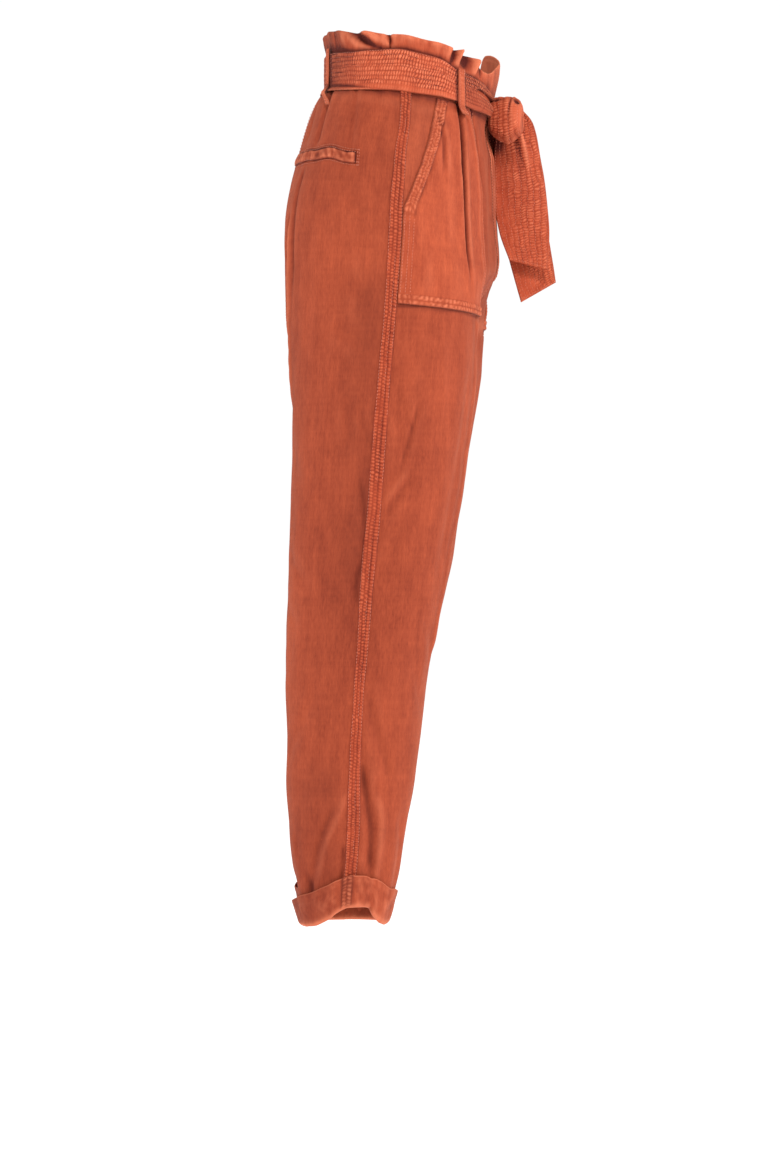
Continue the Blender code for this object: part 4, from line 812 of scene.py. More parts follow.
def makeSideSeam(side):
    look, seed = seamLook, 60 if side == "right" else 90
    levels = np.arange(-18.0, hemLevel + panelAboveFold - 4, -look["rowStep"])
    level, shares = crossed(levels, np.linspace(-1.0, 1.0, look["columns"]))
    half = fromTable(seamHalf, level) * (1 + 0.05 * wobble(level / 21, 0, 8))
    height = pucker(level, (shares + 1) * 5.0, (0.5, 3.4, 6.3, 9.4), look["pitch"], seed, 0.25)
    edge = limit((1 - np.abs(shares)) / 0.16) ** 0.6
    lift = look["rest"] + (look["lift"] - look["rest"] - look["depth"] + look["depth"] * height) * edge
    lift += 0.35 * wobble(level / 11, shares * 1.3, seed + 9)
    sway = 0.7 * wobble(level / 15, 0, seed + 3) * (1 - np.abs(shares))
    outer, out = layRound(side, level, shares * half + sway, lift)
    faint = 0.85 + 0.35 * wobble(level / 26, shares * 0.8, seed + 12)
    # lighter on the pucker crests and beside the edge, for wear and a painted highlight
    wornAndLit = limit(height - 0.42) * np.where(shares < 0.28, 2.3, 1.5) + 0.35 * hump(shares, 0.85, 0.12)
    groove = hump(shares, 0.30, 0.11) * (0.8 + 0.2 * wobble(level / 9, 0, seed + 14))  # painted shade in the groove by the ladder of stitches
    # painted shade in the hollows between puckers and in the groove
    paintedShade = limit(0.5 - height) * 2.1 * faint + 0.04 + 0.5 * groove
    piece = shell("Side_seam_" + side, outer, out, look["thick"], seamCloth, (shares * half, level),
                  wornAndLit * edge * faint, paintedShade, skip=5, wear=0.4)
    declare(piece, "seam_" + side, clothArea(outer))
    line = np.arange(-22.0, -884.0, -3.0)
    drift = 0.5 * wobble(line / 23, 0, seed)
    lines = [layRound(side, line, row * fromTable(seamHalf, line) + drift, 1.10 if row < 0 else 1.05)[0]
             for row in look["rows"]]
    stitches("Side_seam_stitches_" + side, lines, 3.5, 2.6, 0.6, seed)


for side in sides:
    makeSideSeam(side)
print("side seams made")


def makePocket(side):  # on the front, with a slanted mouth
    look, seed = pocketLook, 120 if side == "right" else 150
    mouthBand, edgeBand, footBand = look["mouthBand"], look["edgeBand"], look["footBand"]
    shares = np.linspace(0.0, 1.0, 300)
    gone = np.cumsum(1 + 1.9 * hump(shares, 0.66, 0.09))  # columns crowd round the pressed pleat
    shares = np.interp(np.linspace(0.0, 1.0, 60), (gone - gone[0]) / (gone[-1] - gone[0]), shares)
    down = np.concatenate([np.arange(0, 0.94, 0.0056), np.linspace(0.94, 1.0, 19)])
    across = np.concatenate([np.linspace(0, 14, 17), shares[1:-1] * 1000, np.linspace(0, 10, 11) + 2000])
    downs, cross = crossed(down, across)
    level = look["top"] + downs * (look["footNear"] - look["top"])
    for _ in range(2):  # the foot slants, so the rows follow it
        mouth, edge = frontLine(level, "mouth"), frontLine(level, "pocketEdge")
        width = edge - mouth
        run = np.where(cross < 1999, 14 + (width - 24) * cross / 1000, width - 10 + (cross - 2000))
        run = np.where(cross < 14.5, cross, run)
        foot = pocketFoot(limit(run / width))
        level = look["top"] + downs * (foot - look["top"])
    arc, fromEdge, fromFoot = mouth + run, width - run, level - foot
    down, across = 3.4 * wobble(level / 11, run / 4, seed + 5), 1.1 * wobble(level / 7, run / 4, seed + 6)
    atMouth = pucker(level + down, run + across, (0.6, mouthBand * 0.36, mouthBand * 0.68, mouthBand), look["pitch"],
                     seed, 0.5)
    atEdge = pucker(level, fromEdge, (0.8, edgeBand), look["pitch"], seed + 1, 0.4)
    atFoot = pucker(arc, fromFoot, (0.6, footBand * 0.5, footBand), 4.8, seed + 2, 0.4)
    mouthPart = ease((level + 160.0) / 9.0)  # the plain edge starts under the mouth
    height = np.maximum(np.maximum(atMouth * mouthPart, atEdge * 0.45), atFoot)
    rim = np.maximum(np.minimum(np.minimum(run, fromEdge), fromFoot), 0.0)
    lift = 0.7 + look["rise"] * limit(rim / 1.4) ** 0.5 + look["depth"] * height
    lift += 0.25 * wobble(level / 30, arc / 30, seed)
    lift += 1.1 * limit((run - 6) / 40) * limit(fromEdge / 30) * limit(fromFoot / 40) * ease((-60 - level) / 80)
    outer, out = lay(side, "front", level, arc, lift)
    _, dark, lit = foldSums(side, "front", level, arc)
    band = np.maximum((run < mouthBand) * mouthPart, (fromFoot < footBand) * 0.8)
    # painted shade under the edge of the mouth band
    under = 0.9 * hump(run - mouthBand, 0.8, 1.2) * mouthPart * (0.6 + 0.4 * wobble(level / 6, 0, seed + 7))
    dots = ease((np.sin(level / 0.72 + wobble(level / 9, 0, seed + 9)) + 0.1) / 0.6)  # needle holes by the edge
    holes = hump(fromEdge, 3.0, 1.5) * dots * ease((level + 120) / 30)
    # lighter on crests and at the rim, for wear and a painted highlight, and on lit fold ridges
    wornAndLit = limit(height - 0.42) * 1.7 * band + 0.4 * np.exp(-rim / 0.8) + limit(lit) * 0.7
    # painted shade in the hollows and fold troughs, with the dark needle holes
    paintedShade = limit(0.5 - height) * 1.2 * band + 0.75 * holes + np.clip(dark, 0, 1.1)
    # painted shade under the belt, the mouth band and along the foot
    paintedShade += underBelt(level, (backWaist + arc) / halfWaist) + under + 0.8 * np.exp(-fromFoot / 0.8)
    # painted shade under the knot
    paintedShade += 0.6 * drawnIn("front", level, arc) * ease((level + 96.0) / 50.0)
    piece = shell("Pocket_" + side, outer, out, look["thick"], pocketCloth, (arc, level), wornAndLit, paintedShade, wear=0.3)
    declare(piece, "pocket_" + side, clothArea(outer))
    lines, rows, raised = [], (1.6, mouthBand * 0.56, mouthBand - 0.4), 2.05
    for name, end, insets in (("mouth", -238.0, rows), ("pocketEdge", -246.0, (-1.4, -edgeBand))):
        line = np.arange(-24.0, end, -3.0)
        lines += [lay(side, "front", line, frontLine(line, name) + inset, raised)[0] for inset in insets]
    for inset in (1.6, footBand - 0.4):
        share = np.linspace(0.05, 0.97, 50)
        line = pocketFoot(share) + inset
        start, end = frontLine(line, "mouth"), frontLine(line, "pocketEdge")
        lines.append(lay(side, "front", line, start + (end - start) * share, raised)[0])
    stitches("Pocket_stitches_" + side, lines, 3.3, 2.5, 0.6, seed)


for side in sides:
    makePocket(side)
print("pockets made")


# welts of the back pockets
weltLook = {"from": 47.0, "to": 172.0, "level": -93.0, "high": 13.0, "thick": 1.1}


def weltSag(arc):
    return 2.2 - 3.4 * hump(arc, 84.0, 17.0) + 2.0 * ease((arc - 118.0) / 50.0)


def makeWelt(side):
    look, seed = weltLook, 210 if side == "right" else 230
    start, end, high = look["from"], look["to"], look["high"]
    drops, arc = crossed(np.linspace(0.0, 1.0, 17), np.linspace(start, end, 110))
    across = drops * high
    level = look["level"] - weltSag(arc) - across + 0.9 * wobble(arc / 15, drops * 0.7, seed)
    height = 0.5 + 0.42 * wobble(arc / 4.5 + across * 0.10, across / 8, seed + 4)
    height += 0.2 * wobble(arc / 2.4, across / 4, seed + 5)
    slit = hump(across, 1.5 + 0.8 * wobble(arc / 10, 0, seed + 2), 1.0)  # under the upper lip: sunk, with painted shade
    slit = slit * (0.65 + 0.35 * wobble(arc / 13, 0, seed + 6))
    rim = np.minimum(np.minimum(across, high - across), np.minimum(arc - start, end - arc))
    lift = 0.9 + 0.8 * limit(rim / 1.5) ** 0.5 + 1.2 * height * limit(rim / 2) - 1.5 * slit
    outer, out = lay(side, "back", level, arc, lift)
    blotch = limit(wobble(arc / 6.5, across / 6, seed + 8)) * ease((arc - 70) / 30)
    wornAndLit = limit(height - 0.5) * 0.6
    # painted shade in the hollows, at the rims, in the slit and at the starting end, with random darker blotches
    # further along
    paintedShade = limit(0.45 - height) * 0.7 + 0.5 * np.exp(-rim / 0.9) + 1.7 * slit + 0.5 * blotch
    paintedShade += 0.7 * np.exp(-np.abs(arc - start) / 0.9)
    piece = shell("Back_pocket_welt_" + side, outer, out, look["thick"], cloth, (level, arc), wornAndLit, paintedShade)
    declare(piece, "welt_" + side, clothArea(outer) * 1.2)
    line = np.linspace(start - 2, end + 2, 60)
    lines = [lay(side, "back", look["level"] - weltSag(line) - inset, line, raised)[0]
             for inset, raised in ((-1.6, 0.5), (1.3, 1.7), (11.8, 1.7), (14.8, 0.5))]
    line = np.linspace(look["level"] + 1.5, look["level"] - high - 1.5, 10)
    lines += [lay(side, "back", line - weltSag(arc), arc, 0.5)[0] for arc in (start - 1.6, start - 3.4, end + 1.6)]
    stitches("Welt_stitches_" + side, lines, 3.2, 2.4, 0.6, seed)


for side in sides:
    makeWelt(side)
print("back pockets made")


# fly stand on the right front
flyLook = {"top": -22.0, "end": -208.0, "thick": 0.8}


def flyWidth(level):  # rounded off at its foot
    return 3.0 + 29.0 * np.sqrt(ease((level + 205.0) / 75.0))


def makeFly():
    look = flyLook
    level, shares = crossed(np.arange(look["top"], look["end"], -1.8), np.linspace(0.0, 1.0, 20))
    width, total = flyWidth(level), rowLength(level, "front")
    arc = total - width + (width - 0.6) * shares
    rim = np.minimum(arc - total + width, total - arc)
    lift = 0.9 + 0.8 * limit(rim / 1.4) ** 0.5 + 0.3 * wobble(level / 14, arc / 12, 301)
    outer, out = lay("right", "front", level, arc, lift)
    outer[..., 0] = np.minimum(outer[..., 0], -0.15)
    # lighter at the rim, for wear and a painted highlight; painted shade in a line just inside it
    wornAndLit, paintedShade = 0.5 * np.exp(-rim / 0.9), 0.5 * hump(rim, 2.4, 1.0)
    piece = shell("Fly_front", outer, out, look["thick"], cloth, (arc, level), wornAndLit, paintedShade)
    declare(piece, "fly", clothArea(outer))
    line = np.arange(look["top"] - 2, look["end"] + 4, -2.5)
    width, total = flyWidth(line), rowLength(line, "front")
    lines = [lay("right", "front", line, total - width + inset * np.minimum(1, width / 12), raised)[0]
             for inset, raised in ((-1.8, 0.6), (4.2, 1.75))]
    stitches("Fly_stitches", lines, 3.2, 2.4, 0.6, 305)


makeFly()
print("fly made")


# centre and inner leg seams: one row of topstitching beside each
def makeLongStitches(side):
    lines = [lay(side, face, line, rowLength(line, face) - 4.4, 0.75)[0] for face in ("front", "back")
             for line in (np.arange(-26.0, -258.0, -3.0), np.arange(-275.0, -884.0, -3.0))]
    stitches("Inner_seam_stitches_" + side, lines, 3.5, 2.6, 0.55, 330 + len(side))


for side in sides:
    makeLongStitches(side)


# paperbag waist: three pieces of cloth gathered under the belt, with a doubled frill over it
frillNames = ("at", "halfWidth", "out", "lift", "over", "slant")
frillRight = (
    (0.04, 0.060, 3.0, 0.6, 0, 0), (0.165, 0.034, 3.6, 1.0, 0, 0.01), (0.240, 0.030, 3.2, 0.8, 0, 0.02),
    (0.305, 0.030, -8.5, -1.6, 0, 0.11), (0.375, 0.028, 3.2, 0.9, 0, 0.05), (0.438, 0.010, -3.4, -0.8, 0, 0.014),
    (0.500, 0.042, 2.2, 1.0, 0, 0), (0.600, 0.040, 2.6, 1.0, 0, 0), (0.664, 0.009, -6.0, -0.8, 0, -0.024),
    (0.682, 0.009, 4.6, 1.2, 2.0, -0.022), (0.716, 0.026, -10.5, -0.6, 0, -0.012),
    (0.757, 0.010, 6.0, 0.6, 1.4, -0.012), (0.790, 0.012, -2.5, 0, 0, 0), (0.930, 0.100, 2.0, 0, 0, 0),
    (1.000, 0.060, 5.0, 0, 0, 0))
frillLeft = (
    (0.04, 0.060, 2.4, 0.4, 0, 0), (0.150, 0.030, -3.0, -0.8, 0, 0.02), (0.215, 0.032, 3.6, 1.0, 0, 0),
    (0.285, 0.028, -5.5, -1.2, 0, 0.06), (0.355, 0.030, 3.4, 0.8, 0, 0), (0.438, 0.012, -3.0, -0.8, 0, 0.014),
    (0.490, 0.036, 2.6, 0.8, 0, 0), (0.565, 0.026, -3.2, -0.8, 0, 0.02), (0.635, 0.030, 4.0, 1.0, 2.0, 0),
    (0.690, 0.018, -6.0, -1.0, 0, -0.014), (0.745, 0.020, 5.5, 1.0, 1.5, 0), (0.930, 0.100, 2.0, 0, 0, 0),
    (1.000, 0.060, 5.0, 0, 0, 0))
frillTops = np.array((  # share of the way round, edge of the frill over the waist line right and left
    (0, 34.5, 34.5), (0.25, 35, 35), (0.4, 35.5, 35.5), (0.5, 38, 37), (0.6, 38, 38), (0.7, 38.5, 38.5),
    (0.735, 37, 38.5), (0.76, 33.5, 38), (0.785, 30, 33), (0.798, 27, 30), (0.812, 25.5, 46), (0.83, 25.5, 57.5),
    (0.85, 26.5, 60), (0.88, 29.5, 59.5), (0.92, 35.5, 57), (0.96, 41.5, 52.5), (1, 46.5, 47)))
bandLook = {"thick": 1.7, "small": 0.55, "rows": 30, "round": 720.0, "high": 56.0, "gap": 0.3}
sideTurn = 15 / 34 / 2


def bandPoints(turn, step, tucked):  # turn round the waist, step 0 at the foot and 1 at the edge of the frill
    right, part = np.mod(turn, 1.0) <= 0.5, fromBack(turn)
    top = np.where(right, fromTable(frillTops, part, 1), fromTable(frillTops, part, 2))
    foot = bandBottom + 0.3
    height = foot + (top - foot) * step
    above = height - beltEdge(part, "top")
    share = limit(above / (top - beltEdge(part, "top")))
    out, lift, slide = np.zeros_like(part), np.zeros_like(part), np.zeros_like(part)
    for table, chosen in ((frillRight, right), (frillLeft, ~right)):
        for row in table:
            wave = dict(zip(frillNames, row))
            shape = hump(part - wave["at"], wave["slant"] * (1 - share), wave["halfWidth"]) * chosen
            out += wave["out"] * shape
            lift += wave["lift"] * shape
            slide += wave["over"] * shape
    share = ease((share + 0.12) / 1.05)
    shrink = np.where(part > 0.9, (part - 0.9) / 0.1, 0.0) ** 2 * 0.4 * share / halfWaist
    tuck = 2.3 * ease((sideTurn * 2 + 0.010 - part) / 0.012) * (part < sideTurn * 2 + 0.012) * tucked
    uneven = bandLook["small"] * (0.6 + 0.7 * wobble(turn * 31, height / 40, 406))
    fine = uneven * wobble(turn * 118 + 2.0 * wobble(turn * 23, height / 30, 407), height / 26, 401)
    fine = (fine + 0.30 * wobble(turn * 290, height / 9, 402)) * (1 - 0.6 * ease((part - 0.78) / 0.05))
    off = out * share + 1.4 * share + fine * limit((above + 3) / 6) * (0.35 + 0.65 * share) - tuck
    part = limit(part - shrink + slide * share / halfWaist)
    points, way = ringPoint(np.where(right, part / 2, 1.0 - part / 2), height + lift * share, off)
    return points, way, out / 5.0 * share + fine * 0.5, above


def makeBand(name, node, first, last, tucked):
    look = bandLook
    turns = np.linspace(first, last, int(abs(last - first) * look["round"] / 1.5))
    step, turn = crossed(np.concatenate([np.linspace(0.0, 0.93, look["rows"]), np.linspace(0.945, 1.0, 6)]), turns)
    points, way, crest, above = bandPoints(turn, step, tucked)
    part = fromBack(turn)
    out = unit(np.cross(np.gradient(points, axis=1), np.gradient(points, axis=0)))
    out *= np.sign((out * way).sum(-1).mean())
    out[above < 0] = way[above < 0]
    hem = limit(1 - np.abs(step - 0.955) / 0.05)
    points = points + out * (0.45 * hem * (0.7 + 0.3 * wobble(turn * 200, 0, 404)))[..., None]
    byKnot, atBack = ease((part - 0.79) / 0.03), ease((0.33 - part) / 0.10)
    # lighter on crests and along the top edge, for wear and a painted highlight
    wornAndLit = limit(crest) * 0.30 + 0.85 * limit((step - 0.965) / 0.035)
    # painted shade in the gathers' hollows and at the frill's foot on the belt, then over the back and by the knot
    paintedShade = np.clip(-crest, 0, 1.5) * 0.6 + 0.9 * limit(1 - above / 4.5) * (above > -3)
    paintedShade += (0.62 + 0.5 * hump(above, 3, 5.5) + 0.25 * wobble(part * 50, above / 9, 409)) * atBack * (above > 0)
    paintedShade += (0.75 * hump(above, 2, 9.0) + 0.35 * wobble(part * 60, above / 30, 410)) * byKnot * (above > 0)
    # painted light on the hidden inside of the frill, less by the knot
    hiddenSideLight = 0.95 + 0.9 * hem - hump(above, 2, 13.0) * byKnot + 0.45 * wobble(part * 46, above / 26, 411)
    piece = shell(name, points, out, look["thick"], frillCloth, (turn * look["round"], step * look["high"]), wornAndLit, paintedShade,
                  soft=2, skip=1, hiddenSideLight=hiddenSideLight)
    declare(piece, node, clothArea(points))


halfGap = bandLook["gap"] / bandLook["round"] / 2  # the front bands start under the edges of the back one
makeBand("Paperbag_back", "waist_back", -sideTurn, sideTurn, 0.0)
makeBand("Paperbag_front_right", "waist_front_right", sideTurn - 0.004, 0.5 - halfGap, 1.0)
makeBand("Paperbag_front_left", "waist_front_left", 0.5 + halfGap, 1.004 - sideTurn, 1.0)
print("paperbag waist made")


# belt: doubled cloth with close rows of stitching that pucker it
beltLook = {"pitch": 2.9, "depth": 1.0, "thick": 2.0, "off": 3.1, "columns": 920, "round": 700.0,
            "rows": (1.4, 6.0, 10.8, 15.2, 17.4, 22.2, 27.2, 32.0, 36.6, 41.8)}


def beltPlace(turn, share):  # share 1 at the top edge and -1 at the bottom edge
    part = fromBack(turn)
    top, bottom = beltEdge(part, "top"), beltEdge(part, "bottom")
    height = (top + bottom) / 2 + (top - bottom) / 2 * share
    wide = 0.13 + 0.17 * ease((part - 0.78) / 0.12)
    slit = ease((part - 0.75) / 0.05) * np.exp(-np.abs((share - 0.30) / wide) ** 3)
    bulge = (2.8 * hump(share, -0.30, 0.45) + 2.2 * hump(share, 0.78, 0.2)) * ease((part - 0.72) / 0.16)
    out = beltLook["off"] + 1.2 * np.maximum(flareLevel - height, 0.0) + bulge - 8.5 * slit
    sag = 0.45 * wobble(turn * 36, share * 0.8, 505) + 0.35 * wobble(turn * 90, share * 1.5, 506)
    return height + 0.7 * wobble(turn * 30, 0, 508), slit, out, sag


def makeBelt():
    look = beltLook
    share, turn = crossed(np.linspace(1.0, -1.0, 50), np.linspace(0.0, 1.0, look["columns"] + 1)[:-1])
    height, slit, base, sag = beltPlace(turn, share)
    across = (1 - share) * beltHeight / 2
    wander = 0.8 * wobble(turn * 40, share, 502)
    crest = pucker(turn * look["round"], across + wander, look["rows"], look["pitch"], 501, 0.22)
    crest = 0.5 + (crest - 0.5) * (0.85 + 0.45 * wobble(turn * 21, share * 1.4, 512))
    crest = np.where(across > look["rows"][-2], 0.5 + 0.3 * (crest - 0.5), crest)  # the plain lower strip
    edge = limit((1 - np.abs(share)) / 0.05) ** 0.5
    points, way = ringPoint(turn, height, base - 1.0 + (0.75 + look["depth"] * (crest - 0.4) + sag) * edge)
    part = fromBack(turn)
    # painted shade beside the loops, over the back and near the knot
    byLoop = sum(hump(part, at, wide) for at, wide in ((0.174, 0.012), (0.660, 0.006), (0.692, 0.007)))
    shaded = 0.27 * ease((0.42 - part) / 0.22) + 0.20 * ease((0.38 - part) / 0.12) + 0.40 * ease((part - 0.685) / 0.03)
    # lighter on crests and at the edges, for wear and a painted highlight
    wornAndLit = limit(crest - 0.45) * 2.3 + 0.35 * (1 - edge)
    # painted shade in the hollows and the slit, beside the loops, over the back and near the knot
    paintedShade = limit(0.5 - crest) * (2.3 + 2.6 * shaded) + 2.6 * slit + 0.9 * byLoop + shaded
    piece = shell("Belt", points, way, look["thick"], beltCloth, (across, turn * look["round"]), wornAndLit, paintedShade,
                  closed=True, skip=4)
    declare(piece, "belt", clothArea(points, True))
    rows = []
    for line in look["rows"]:
        turn = np.linspace(0.0, 1.0, 420)
        height, _, base, sag = beltPlace(turn, 1 - line / beltHeight * 2)
        rows.append(ringPoint(turn, height, base - 0.45 + sag)[0])
    stitches("Belt_stitches", rows, 3.2, 2.35, 0.55, 510)


makeBelt()
print("belt made")


# knot: the belt wound once round its crossed ends
knotLook = {"x": -27.0, "back": -102.6, "turn": -11.0, "thick": 2.0, "rings": 72, "sides": 220, "ringStep": 4.9,
            "radius": 24.0}
knotRings = np.array((  # depth, shift across, middle height, half width, half height
    (-6, 0, -37.5, 15.5, 14), (-2.5, 0, -38, 18.8, 19.6), (2.5, 0, -39, 20.2, 23), (9, -0.3, -40, 21, 24.2),
    (15.5, -0.6, -40.2, 21, 24.2), (21.5, -0.4, -39.8, 20.2, 22.4), (26.8, 0, -39, 18, 18.6),
    (29.2, 0.4, -38.4, 15, 15.2), (29.8, 0.8, -38, 8, 8)))


def makeKnot():
    look, fullTurn, last = knotLook, 2 * math.pi, len(knotRings) - 1
    index = np.concatenate([[0.0], np.linspace(0.2, last, look["rings"] - 1)])
    rings = [np.interp(index, range(last + 1), column)[:, None] for column in knotRings.T]
    depth, shiftX, centreZ, halfX, halfZ = rings
    for values in (halfX, halfZ, depth):
        for _ in range(3):
            values[1:-1] = (values[:-2] + 2 * values[1:-1] + values[2:]) / 4
    index, turn = index[:, None], np.linspace(0.0, fullTurn, look["sides"] + 1)[None, :-1]
    c, s = np.cos(turn), np.sin(turn)
    along, around = np.broadcast_arrays(index * look["ringStep"], turn * look["radius"])
    bowed = along + 3.2 * np.abs(s) ** 1.6 * np.sign(20.0 - along) * ease(np.abs(20.0 - along) / 12.0)
    bowed = bowed + wobble(around / 9, along / 11, 604)
    crest = pucker(around, bowed, (0.0, 4.2, 8.4, 12.6, 16.8, 21.0, 25.2, 29.4, 33.6, 38.4), 3.1, 601, 0.4)
    calm = ease((along - 17.0) / 9.0) * ease((s + 0.75) / 0.8)  # drawn smooth towards the front, above
    crest = (crest + (0.50 - crest) * 0.62 * calm) * ease(index / 0.5) * ease((last - index) / 0.4)
    furrow = hump(along - 2.0 * s, 21.0, 1.0) * ease((s + 0.2) / 0.7)

    def dent(turned, halfTurn, depth, halfDepth):
        return hump(np.mod(turn - turned + math.pi, fullTurn), math.pi, halfTurn) * hump(along, depth, halfDepth)
    hole = dent(2.05, 0.24, 28.0, 3.2)
    pinch = dent(2.15, 0.16, 10.0, 4.0) + 0.7 * dent(1.2, 0.3, 20.0, 6.0)
    onFace = ease((along - 27.5) / 3.0)
    crest = crest + (0.5 - crest) * 0.8 * onFace
    upFace, acrossFace = halfX * np.sin(turn - 0.95), halfX * np.cos(turn - 0.95)
    fold = hump(upFace + 0.06 * acrossFace ** 2, -3.4, 1.6) * onFace  # the strip's edge across the face
    swell = 1.6 * (crest - 0.4) - 0.8 * furrow - 5.5 * hole - 2.4 * pinch - 1.6 * fold
    swell = swell + 1.1 * wobble(around / 16, along / 9, 603) + 0.8 * calm * hump(along, 25.0, 5.0)
    shape = 1.0 + swell * ease((last - index) / 1.2 + 0.35) / 22.0 + 0.02 * np.cos(3 * turn + 0.8)
    across = shiftX + halfX * shape * np.sign(c) * np.abs(c) ** 0.85
    angle = math.radians(look["turn"])
    x = look["x"] + across * math.cos(angle) + depth * math.sin(angle)
    y = look["back"] + across * math.sin(angle) - depth * math.cos(angle)
    z = centreZ + halfZ * shape * np.sign(s) * np.abs(s) ** 0.85
    points = np.stack([x, y, z], axis=-1)
    front = points[-1].mean(axis=0)
    points[-1] = front + (points[-1] - front) * 0.03  # the last ring closes the face
    across = np.gradient(np.concatenate([points, points[:, :1]], axis=1), axis=1)[:, :-1]
    out = unit(np.cross(across, np.gradient(points, axis=0)))
    middle = np.array([look["x"] - 3.0, look["back"] - 14.0, -39.0])
    out *= np.sign((out * (points - middle)).sum(-1, keepdims=True))
    below = ease((-0.35 - s) / 0.5) * 0.25 + ease((9.0 - along) / 7.0) * 0.45  # shaded under and behind
    # lighter on crests, for wear and a painted highlight, and a little where drawn smooth
    wornAndLit = limit(crest - 0.45) * 1.2 + 0.10 * calm
    # painted shade in the hollows, furrow, hole, pinch, along the fold and under and behind
    paintedShade = limit(0.5 - crest) * 1.1 + np.clip(0.5 * furrow + 1.6 * hole + pinch + 0.55 * fold, 0, 1.2) + below
    piece = shell("Belt_knot", points, out, look["thick"], beltCloth, (along, around), wornAndLit, paintedShade, closed=True, skip=4)
    declare(piece, "knot", clothArea(points, True))
    raised = points + out * 0.15
    rows = [np.concatenate([raised[i], raised[i, :1]]) for i in np.searchsorted(along[:, 0], (12.6, 21.0, 29.4))]
    stitches("Knot_stitches", rows, 3.1, 2.3, 0.5, 611)


makeKnot()
print("knot made")


# tails of the belt
tailNear = np.array((  # inner and outer edge (y, z), x, how far it is cupped
    (-116, -24, -133, -27, -8.6, 0),
    (-107.5, -40, -143, -38.5, -7.1, 0),
    (-103.5, -56, -147.7, -53, -8.8, 0.8),
    (-101.8, -80, -152, -78, -10.4, 2.6),
    (-101.5, -105, -156.5, -104, -12, 3.2),
    (-102.6, -132, -159.5, -132, -16, 2),
    (-107.4, -160, -161.4, -162, -19, 0.8),
    (-118, -190.5, -159.2, -201.3, -21, 0),
))
tailFar = np.array((
    (-106, -26, -131, -28, -5.7, 0),
    (-93.5, -44, -141, -41, -3.6, 0),
    (-97.6, -68, -147, -66, -1, 1.2),
    (-103.4, -105, -152, -102, 0, 2.5),
    (-107, -145, -157, -140, -4, 2),
    (-116.5, -182, -163, -176, -8, 1),
    (-124, -210, -167, -200, -10, 0.5),
    (-131, -235, -168.8, -213.3, -11, 0),
))
tailLook = {"thick": 2.2, "pitch": 2.9, "depth": 1.3, "ridge": 2.6, "wide": 42.0,
            "rows": (1.4, 6.2, 11.2, 16.2, 21.0, 26.0, 30.8, 35.8, 40.6)}


def makeTail(name, node, table, seed, rings, columns):
    look, last = tailLook, len(table) - 1
    run = np.linspace(0.0, last, rings)[:, None]
    innerY, innerZ, outerY, outerZ, x, cup = (smoothAt(run, range(last + 1), column) for column in table.T)
    t, share, half = run / last, np.linspace(0.0, 1.0, columns)[None], columns // 2
    y, z = innerY + (outerY - innerY) * share, innerZ + (outerZ - innerZ) * share
    length = lengthAlong(np.stack([y[:, half], z[:, half]], axis=-1))[:, None]
    length, across = np.broadcast_arrays(length, share * look["wide"])
    wander = 1.8 * wobble(length / 17, across / 12, seed + 5) + 0.7 * wobble(length / 4.5, across / 5, seed + 6)
    drift = 1.1 * wobble(length / 6, across / 4, seed + 8)
    crest = pucker(length + drift, across + wander, look["rows"], look["pitch"], seed, 0.3)
    drawn = 0.25 + 0.75 * ease((share - 0.30 - 0.3 * wobble(t * 4, 0, seed + 7)) / 0.3) * (1 - 0.30 * t)
    crest = 0.5 + (crest - 0.5) * drawn  # drawn up hard along the outer half
    centre = share - 0.36 - 0.34 * ease(t / 0.45)
    ridge = look["ridge"] * hump(centre, 0, 0.055) * ease((0.62 - t) / 0.4)
    ridge = ridge - 1.4 * hump(centre, -0.14, 0.09) * ease((0.7 - t) / 0.5)
    curl = 1.5 * wobble(t * 3.2, share * 1.4, seed + 3) * ease(t / 0.15) + 0.8 * wobble(t * 9, share * 3, seed + 4)
    points = np.stack([x - cup * np.sin(math.pi * share) - ridge - curl, y, z], axis=-1)
    out = unit(np.cross(np.gradient(points, axis=1), np.gradient(points, axis=0)))
    out *= np.sign(-out[..., :1].mean())
    edge = limit(np.minimum(share, 1 - share) / 0.03)
    a, b = np.arange(columns), np.arange(rings)
    rim = np.minimum(np.minimum(a, a[::-1])[None], np.minimum(b, b[::-1])[:, None])
    puff = (look["thick"] / 2 + look["depth"] * (crest - 0.5) * edge) * np.array([0.42, 0.8, 1.0])[np.minimum(rim, 2)]
    puff = out * puff[..., None]
    # lighter on crests, at the edges and on the ridge: wear and a painted highlight
    wornAndLit = limit(crest - 0.5) * 1.1 + 0.4 * (1 - edge) + np.clip(ridge, 0, 9) * 0.32
    # painted shade in the hollows and the trough beside the ridge
    paintedShade = limit(0.5 - crest) * 1.2 + np.clip(-ridge, 0, 2) * 0.5
    # painted shade under the knot at the top
    paintedShade = paintedShade + 1.1 * ease((0.33 - t) / 0.12) * ease((0.58 - share) / 0.3)
    paintedShade = paintedShade + 1.1 * hump(t, 0.35, 0.06) * ease((0.32 - share) / 0.22)  # in the shade of the knot
    paintedShade = paintedShade + 0.08 * ease((0.5 - share) / 0.2) * ease((0.9 - t) / 0.3)
    near, far = points + puff, points - puff
    piece = shell(name, near, out, look["thick"], beltCloth, (across, length), wornAndLit, paintedShade, skip=1, back=far)
    declare(piece, node, clothArea(points))
    rows, at = [], np.arange(3, rings - 2)
    for line in look["rows"]:
        i = np.round((line - wander[at, half]) / look["wide"] * (columns - 1)).astype(int)
        i = np.clip(i, 2, columns - 3)
        rows += [near[at, i] + out[at, i] * 0.1, far[at, i] - out[at, i] * 0.1]
    rows.append(near[-4, 2:-2] + out[-4, 2:-2] * 0.12)
    stitches(name + "_stitches", rows, 3.2, 2.3, 0.5, seed + 9)


